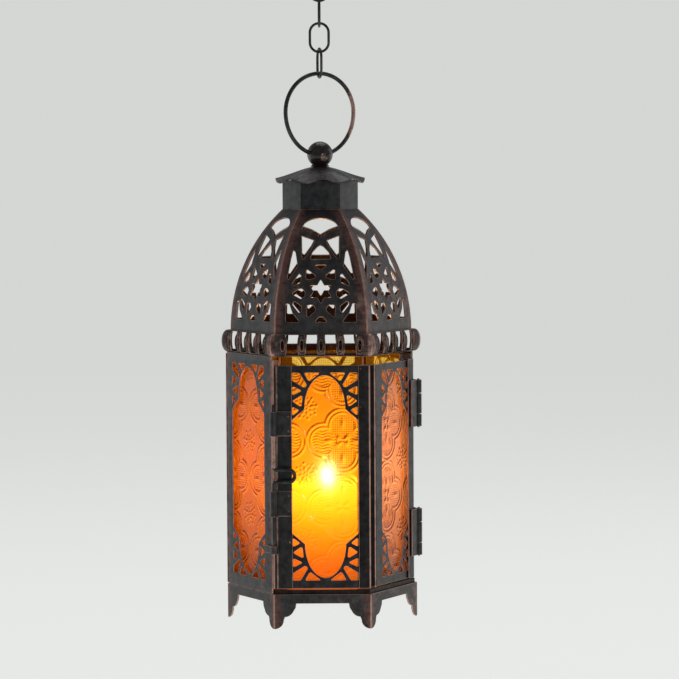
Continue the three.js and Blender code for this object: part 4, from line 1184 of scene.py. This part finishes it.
def latch():
    """The bolt of bent wire, the two brackets that it slides in, and the keeper below."""
    low, high = mm_box("latch_bolt")
    size = 0.9
    x, y = low.x + size, (low.y + high.y) / 2
    top, bottom = high.z, low.z
    upper, lower, reach = 72.4, 66.9, high.x - low.x - 2 * size
    bend = 1.4
    tip = (upper - lower) / 2
    points = [
        (0, top - size),
        *[(0, z) for z in np.linspace(top - 3, upper + bend + 1, 8)],
        *arc_points(bend, upper + bend, bend, bend, 180, 270, 6),
        *arc_points(reach - tip, lower + tip, tip, tip, 90, -90, 14),
        *arc_points(bend, lower - bend, bend, bend, 90, 180, 6),
        *[(0, z) for z in np.linspace(lower - bend - 1, bottom + 3, 8)],
        (0, bottom + size),
    ]
    bolt = wire([(x + across, y, z) for across, z in points], size, 16)
    heights = bolt.middles()[:, 2]
    # A band of the bolt above the upper bracket is rubbed bright as a painted highlight; the rest of its
    # paint is lightly worn
    bolt.wear_and_highlight = np.where((heights > upper + size) & (heights < upper + 18), 0.95, 0.35)
    stand_in("latch_bolt", "wire", bolt, "latch", HARDWARE, sharp=50)

    leaf_front = -APOTHEM - GAP - LEAF_SHEET
    for place in ("upper", "lower"):
        node = f"latch_bracket_{place}"
        low, high = mm_box(node)
        leaf = plate_on_face(-20.9, -13.6, low.z, high.z, leaf_front, LEAF_SHEET)
        leaf += tube(x, y, 1.75, 1.15, low.z, high.z)
        leaf += dimple(-15, low.z + 2.2, leaf_front, 0.5) + dimple(-15, high.z - 2.2, leaf_front, 0.5)
        stand_in(node, "leaf", leaf, "door", HARDWARE)

    low, high = mm_box("latch_keeper")
    leaf = plate_on_face(15.5, 22.3, low.z, high.z, leaf_front, LEAF_SHEET).turned(-SIXTH)
    leaf += tube(x, y, 1.75, 1.15, low.z, high.z)
    stand_in("latch_keeper", "leaf", leaf, "frame", HARDWARE)


def hinges():
    """Butt hinges on the right corner: two leaves with rolled knuckles each, and a pin with domed heads."""
    joint = next(j for j in frame["joints"] if j["name"] == "door_hinge")
    axis_x = joint["pos_m"][0] / MM
    radius, bore, pin_radius = 1.5, 0.75, 0.62
    front = -APOTHEM - GAP - LEAF_SHEET
    leaf_end = HALF_SIDE + 0.4 - radius - GAP
    play = 0.15
    splits = {"upper": (94, 103.5), "lower": (34.2, 43.8)}
    for place, (lower_split, upper_split) in splits.items():
        low, high = mm_box(f"hinge_{place}_frame_leaf")
        bottom, top = low.z, high.z
        on_door = [(lower_split + play, upper_split - play)]
        on_frame = [(bottom, lower_split - play), (upper_split + play, top)]
        for body, spans, turn, sign in (("door", on_door, SIXTH, 1), ("frame", on_frame, 2 * SIXTH, -1)):
            leaf = plate_on_face(*sorted((sign * 15.4, sign * leaf_end)), bottom, top, front, LEAF_SHEET, 0.5)
            knuckle = sorted((sign * (leaf_end - 0.3), sign * (leaf_end + 0.95)))
            for span in spans:
                leaf += plate_on_face(*knuckle, *span, front, LEAF_SHEET, 0.1)
            for height in (bottom + 4, top - 4):
                leaf += dimple(sign * 17.4, height, front, 0.6)
            leaf = leaf.turned(turn)
            for span in spans:
                leaf += tube(axis_x, 0, radius, bore, *span)
            stand_in(f"hinge_{place}_{body}_leaf", "rolled", leaf, body, HARDWARE)
        node = f"hinge_{place}_pin"
        low, high = mm_box(node)
        heights = np.linspace(low.z + pin_radius, high.z - pin_radius, 12)
        pin = wire([(axis_x, 0, z) for z in heights], pin_radius, 14)
        stand_in(node, "turned", pin, "frame", HARDWARE, sharp=50)


def hinge_jamb():
    """The folded strip inside the hinge corner, which closes the slit between the door and the panel."""
    depth = CHANNEL_DEPTH + 0.5
    run, tab_depth = 7, FLANGE_DEPTH + 0.1
    end_x = HALF_SIDE + run * cos(SIXTH) - tab_depth * sin(SIXTH)
    end_y = -APOTHEM + run * sin(SIXTH) + tab_depth * cos(SIXTH)
    back = -APOTHEM + depth
    plan = [(HALF_SIDE - run, back), (HALF_SIDE - depth * TAN30, back), (end_x, end_y)]
    shell = folded_strip(plan, SHEET, FLANGE_BOTTOM, FLANGE_TOP, crease=0.4, corner=0).turned(SIXTH)
    piece("hinge_jamb_strip", shell, "frame", "frame_metal", DOOR_METAL)


# ---- candle


def candle():
    """Slightly wavy wax with a rounded, sunken top, a twisted wick in a small hollow, and the flame. Gives
    the place of the lamp in front of the flame."""
    edge, low, wide = 1.6, CANDLE_LOW.z, CANDLE_RADIUS
    profile = [(0, low), (wide - 0.9, low), (wide - 0.25, low + 0.3), (wide, low + 0.9)]
    profile += [(wide, z) for z in np.linspace(low + 4, CANDLE_TOP - 4, 14)]
    profile += arc_points(wide - edge, CANDLE_TOP - edge, edge, edge, 0, 110, 8)
    sunken = [(18, 1.1), (12, 1.9), (6, 2.4), (1.4, 2.7), (1.1, 3.2), (0, 3.3)]
    profile += [(r, CANDLE_TOP - depth) for r, depth in sunken]

    def wavy(x, y, z):
        angle = np.arctan2(y, x)
        shrink = 1 - 0.0035 * (1 + np.sin(3 * angle + z * 0.08)) - 0.002 * (1 + np.sin(7 * angle - z * 0.11))
        return x * shrink, y * shrink, z

    wax = lathe(profile, 96).mapped(wavy)
    piece("candle_wax_body", wax, "frame", "candle_wax", candle_wax("candle_wax"), ["candle"], sharp=40)

    foot = CANDLE_TOP - 3.2
    bends = [(0, 0), (0, 2.2), (0.2, 4.2), (0.7, 5.9), (1.5, 7.2)]
    line = [(x, 0, foot + up) for x, up in bends]
    braid = Shell([], [])
    for k in range(3):
        path = []
        for t in np.linspace(0, 1, 40):
            at = t * (len(line) - 1)
            i = min(int(at), len(line) - 2)
            here = Vector(line[i]).lerp(Vector(line[i + 1]), at - i)
            path.append(here + Vector((*polar(0.3, 2 * pi * (k / 3 + 2.5 * t)), 0)))
        braid += wire(path, 0.33, 8)
    cotton = charred_cotton("candle_wick")
    stand_in("candle_wick", "braid", braid, "frame", ("candle_wick", cotton))

    flame_low, flame_high = foot + 2.6, foot + 12.4
    steps = np.linspace(0.04, 0.97, 22)
    widths = 2.5 * np.sin(pi * steps**0.72) ** 0.85
    profile = [(0, flame_low), *zip(widths, flame_low + steps * (flame_high - flame_low)), (0, flame_high)]
    shell = lathe(profile, 32).mapped(lambda x, y, z: (x + 1.3 + 0.06 * (z - flame_low), y, z))
    glow = flame_glow("candle_flame", flame_low, flame_high)
    piece("candle_flame_body", shell, "frame", "candle_wax", glow, sharp=60)
    return (1.9, -3.5, (flame_low + flame_high) / 2)


# ---- kept CAD nodes


def dress_cad_node(name, material, bevel):
    """A CAD node whose shape is right keeps its mesh, and gets rounded edges and its material."""
    node = frame["nodes"][name]
    node.data.materials.clear()
    node.data.materials.append(material)
    rounding = node.modifiers.new("rounding", "BEVEL")
    rounding.width = bevel * MM
    rounding.segments = 2
    rounding.limit_method = "ANGLE"
    rounding.angle_limit = radians(35)


# ---- stage


def studio(flame_at):
    """The camera where the photo's was, a pale floor and backdrop, soft lamps, and a lamp in the flame."""
    scene = bpy.context.scene
    scene.view_settings.view_transform = "Standard"

    def placed(name, data):
        made = bpy.data.objects.new(name, data)
        scene.collection.objects.link(made)
        return made

    camera = bpy.data.cameras.new("camera")
    camera.lens = CAMERA["lens"]
    camera.clip_start, camera.clip_end = 0.05, 50
    scene.camera = placed("camera", camera)
    yaw, pitch, roll = (radians(CAMERA[turn]) for turn in ("yaw", "pitch", "roll"))
    scene.camera.matrix_world = (
        Matrix.Translation(Vector(CAMERA["place"]) * MM)
        @ Matrix.Rotation(yaw, 4, "Z")
        @ Matrix.Rotation(pi / 2 + pitch, 4, "X")
        @ Matrix.Rotation(roll, 4, "Z")
    )

    mesh = bpy.data.meshes.new("floor")
    left, right, near, far, level = (FLOOR[edge] for edge in ("left", "right", "near", "far", "level"))
    corners = [(left, near, level), (right, near, level), (right, far, level), (left, far, level)]
    mesh.from_pydata(corners, [], [(0, 1, 2, 3)])
    n = Nodes("floor")
    floor_look = {
        "Base Color": n.mix(n.noise(300.0, 2.0), (0.60, 0.61, 0.60), (0.64, 0.65, 0.64)),
        "Roughness": 0.9,
        "Emission Color": (0.86, 0.88, 0.84, 1),
        "Emission Strength": 0.6,
    }
    mesh.materials.append(n.surface(floor_look))
    floor = placed("floor", mesh)

    scene.world = bpy.data.worlds.new("studio")
    n = Nodes("studio", scene.world)
    path = n.add("LightPath").outputs
    seen = n.math("MAXIMUM", path["Is Camera Ray"], path["Is Transmission Ray"])
    pale = n.add("Background", {"Color": (0.79, 0.805, 0.78, 1), "Strength": 0.84})
    soft = n.add("Background", {"Color": (0.9, 0.95, 1.0, 1), "Strength": 0.24})
    both = n.add("MixShader", {0: seen, 1: soft.outputs[0], 2: pale.outputs[0]})
    n.add("OutputWorld", {"Surface": both.outputs[0]})

    for name, (place, size, power, colour) in LAMPS.items():
        light = bpy.data.lights.new(name, "AREA")
        light.shape = "RECTANGLE"
        light.size, light.size_y = size
        light.energy = power
        light.color = colour
        lamp = placed(name, light)
        lamp.location = place
        lamp.rotation_euler = (Vector(LAMPS_AIM) - Vector(place)).to_track_quat("-Z", "Y").to_euler()
        lamp.visible_camera = False

    flame = bpy.data.lights.new("flame", "POINT")
    flame.energy = 0.02
    flame.color = (1.0, 0.62, 0.22)
    flame.shadow_soft_size = 0.003
    placed("flame", flame).location = Vector(flame_at) * MM


# ---- assembly

base_skirt()
for number in (2, 3, 4, 5):
    fixed_panel(number, HINGE_INSET if number == 2 else PANEL_EDGE, PANEL_EDGE)
    glass_pane(number, "frame")
door_frame()
glass_pane(0, "door")
glass_pane(1, "door")
slat_band()
dome_panels()
neck_collar()
top_cap()
finial_ball()
hanging_ring()
chain()
chain_hook()
latch()
hinges()
hinge_jamb()
flame_place = candle()
for kept, bevel_width in (("floor_tray", 0.2), ("top_ring", 0.2), ("finial_stud", 0.15), ("finial_nut", 0.3)):
    dress_cad_node(kept, INSIDE_METAL if bevel_width == 0.2 else HARDWARE_METAL, bevel_width)
studio(flame_place)
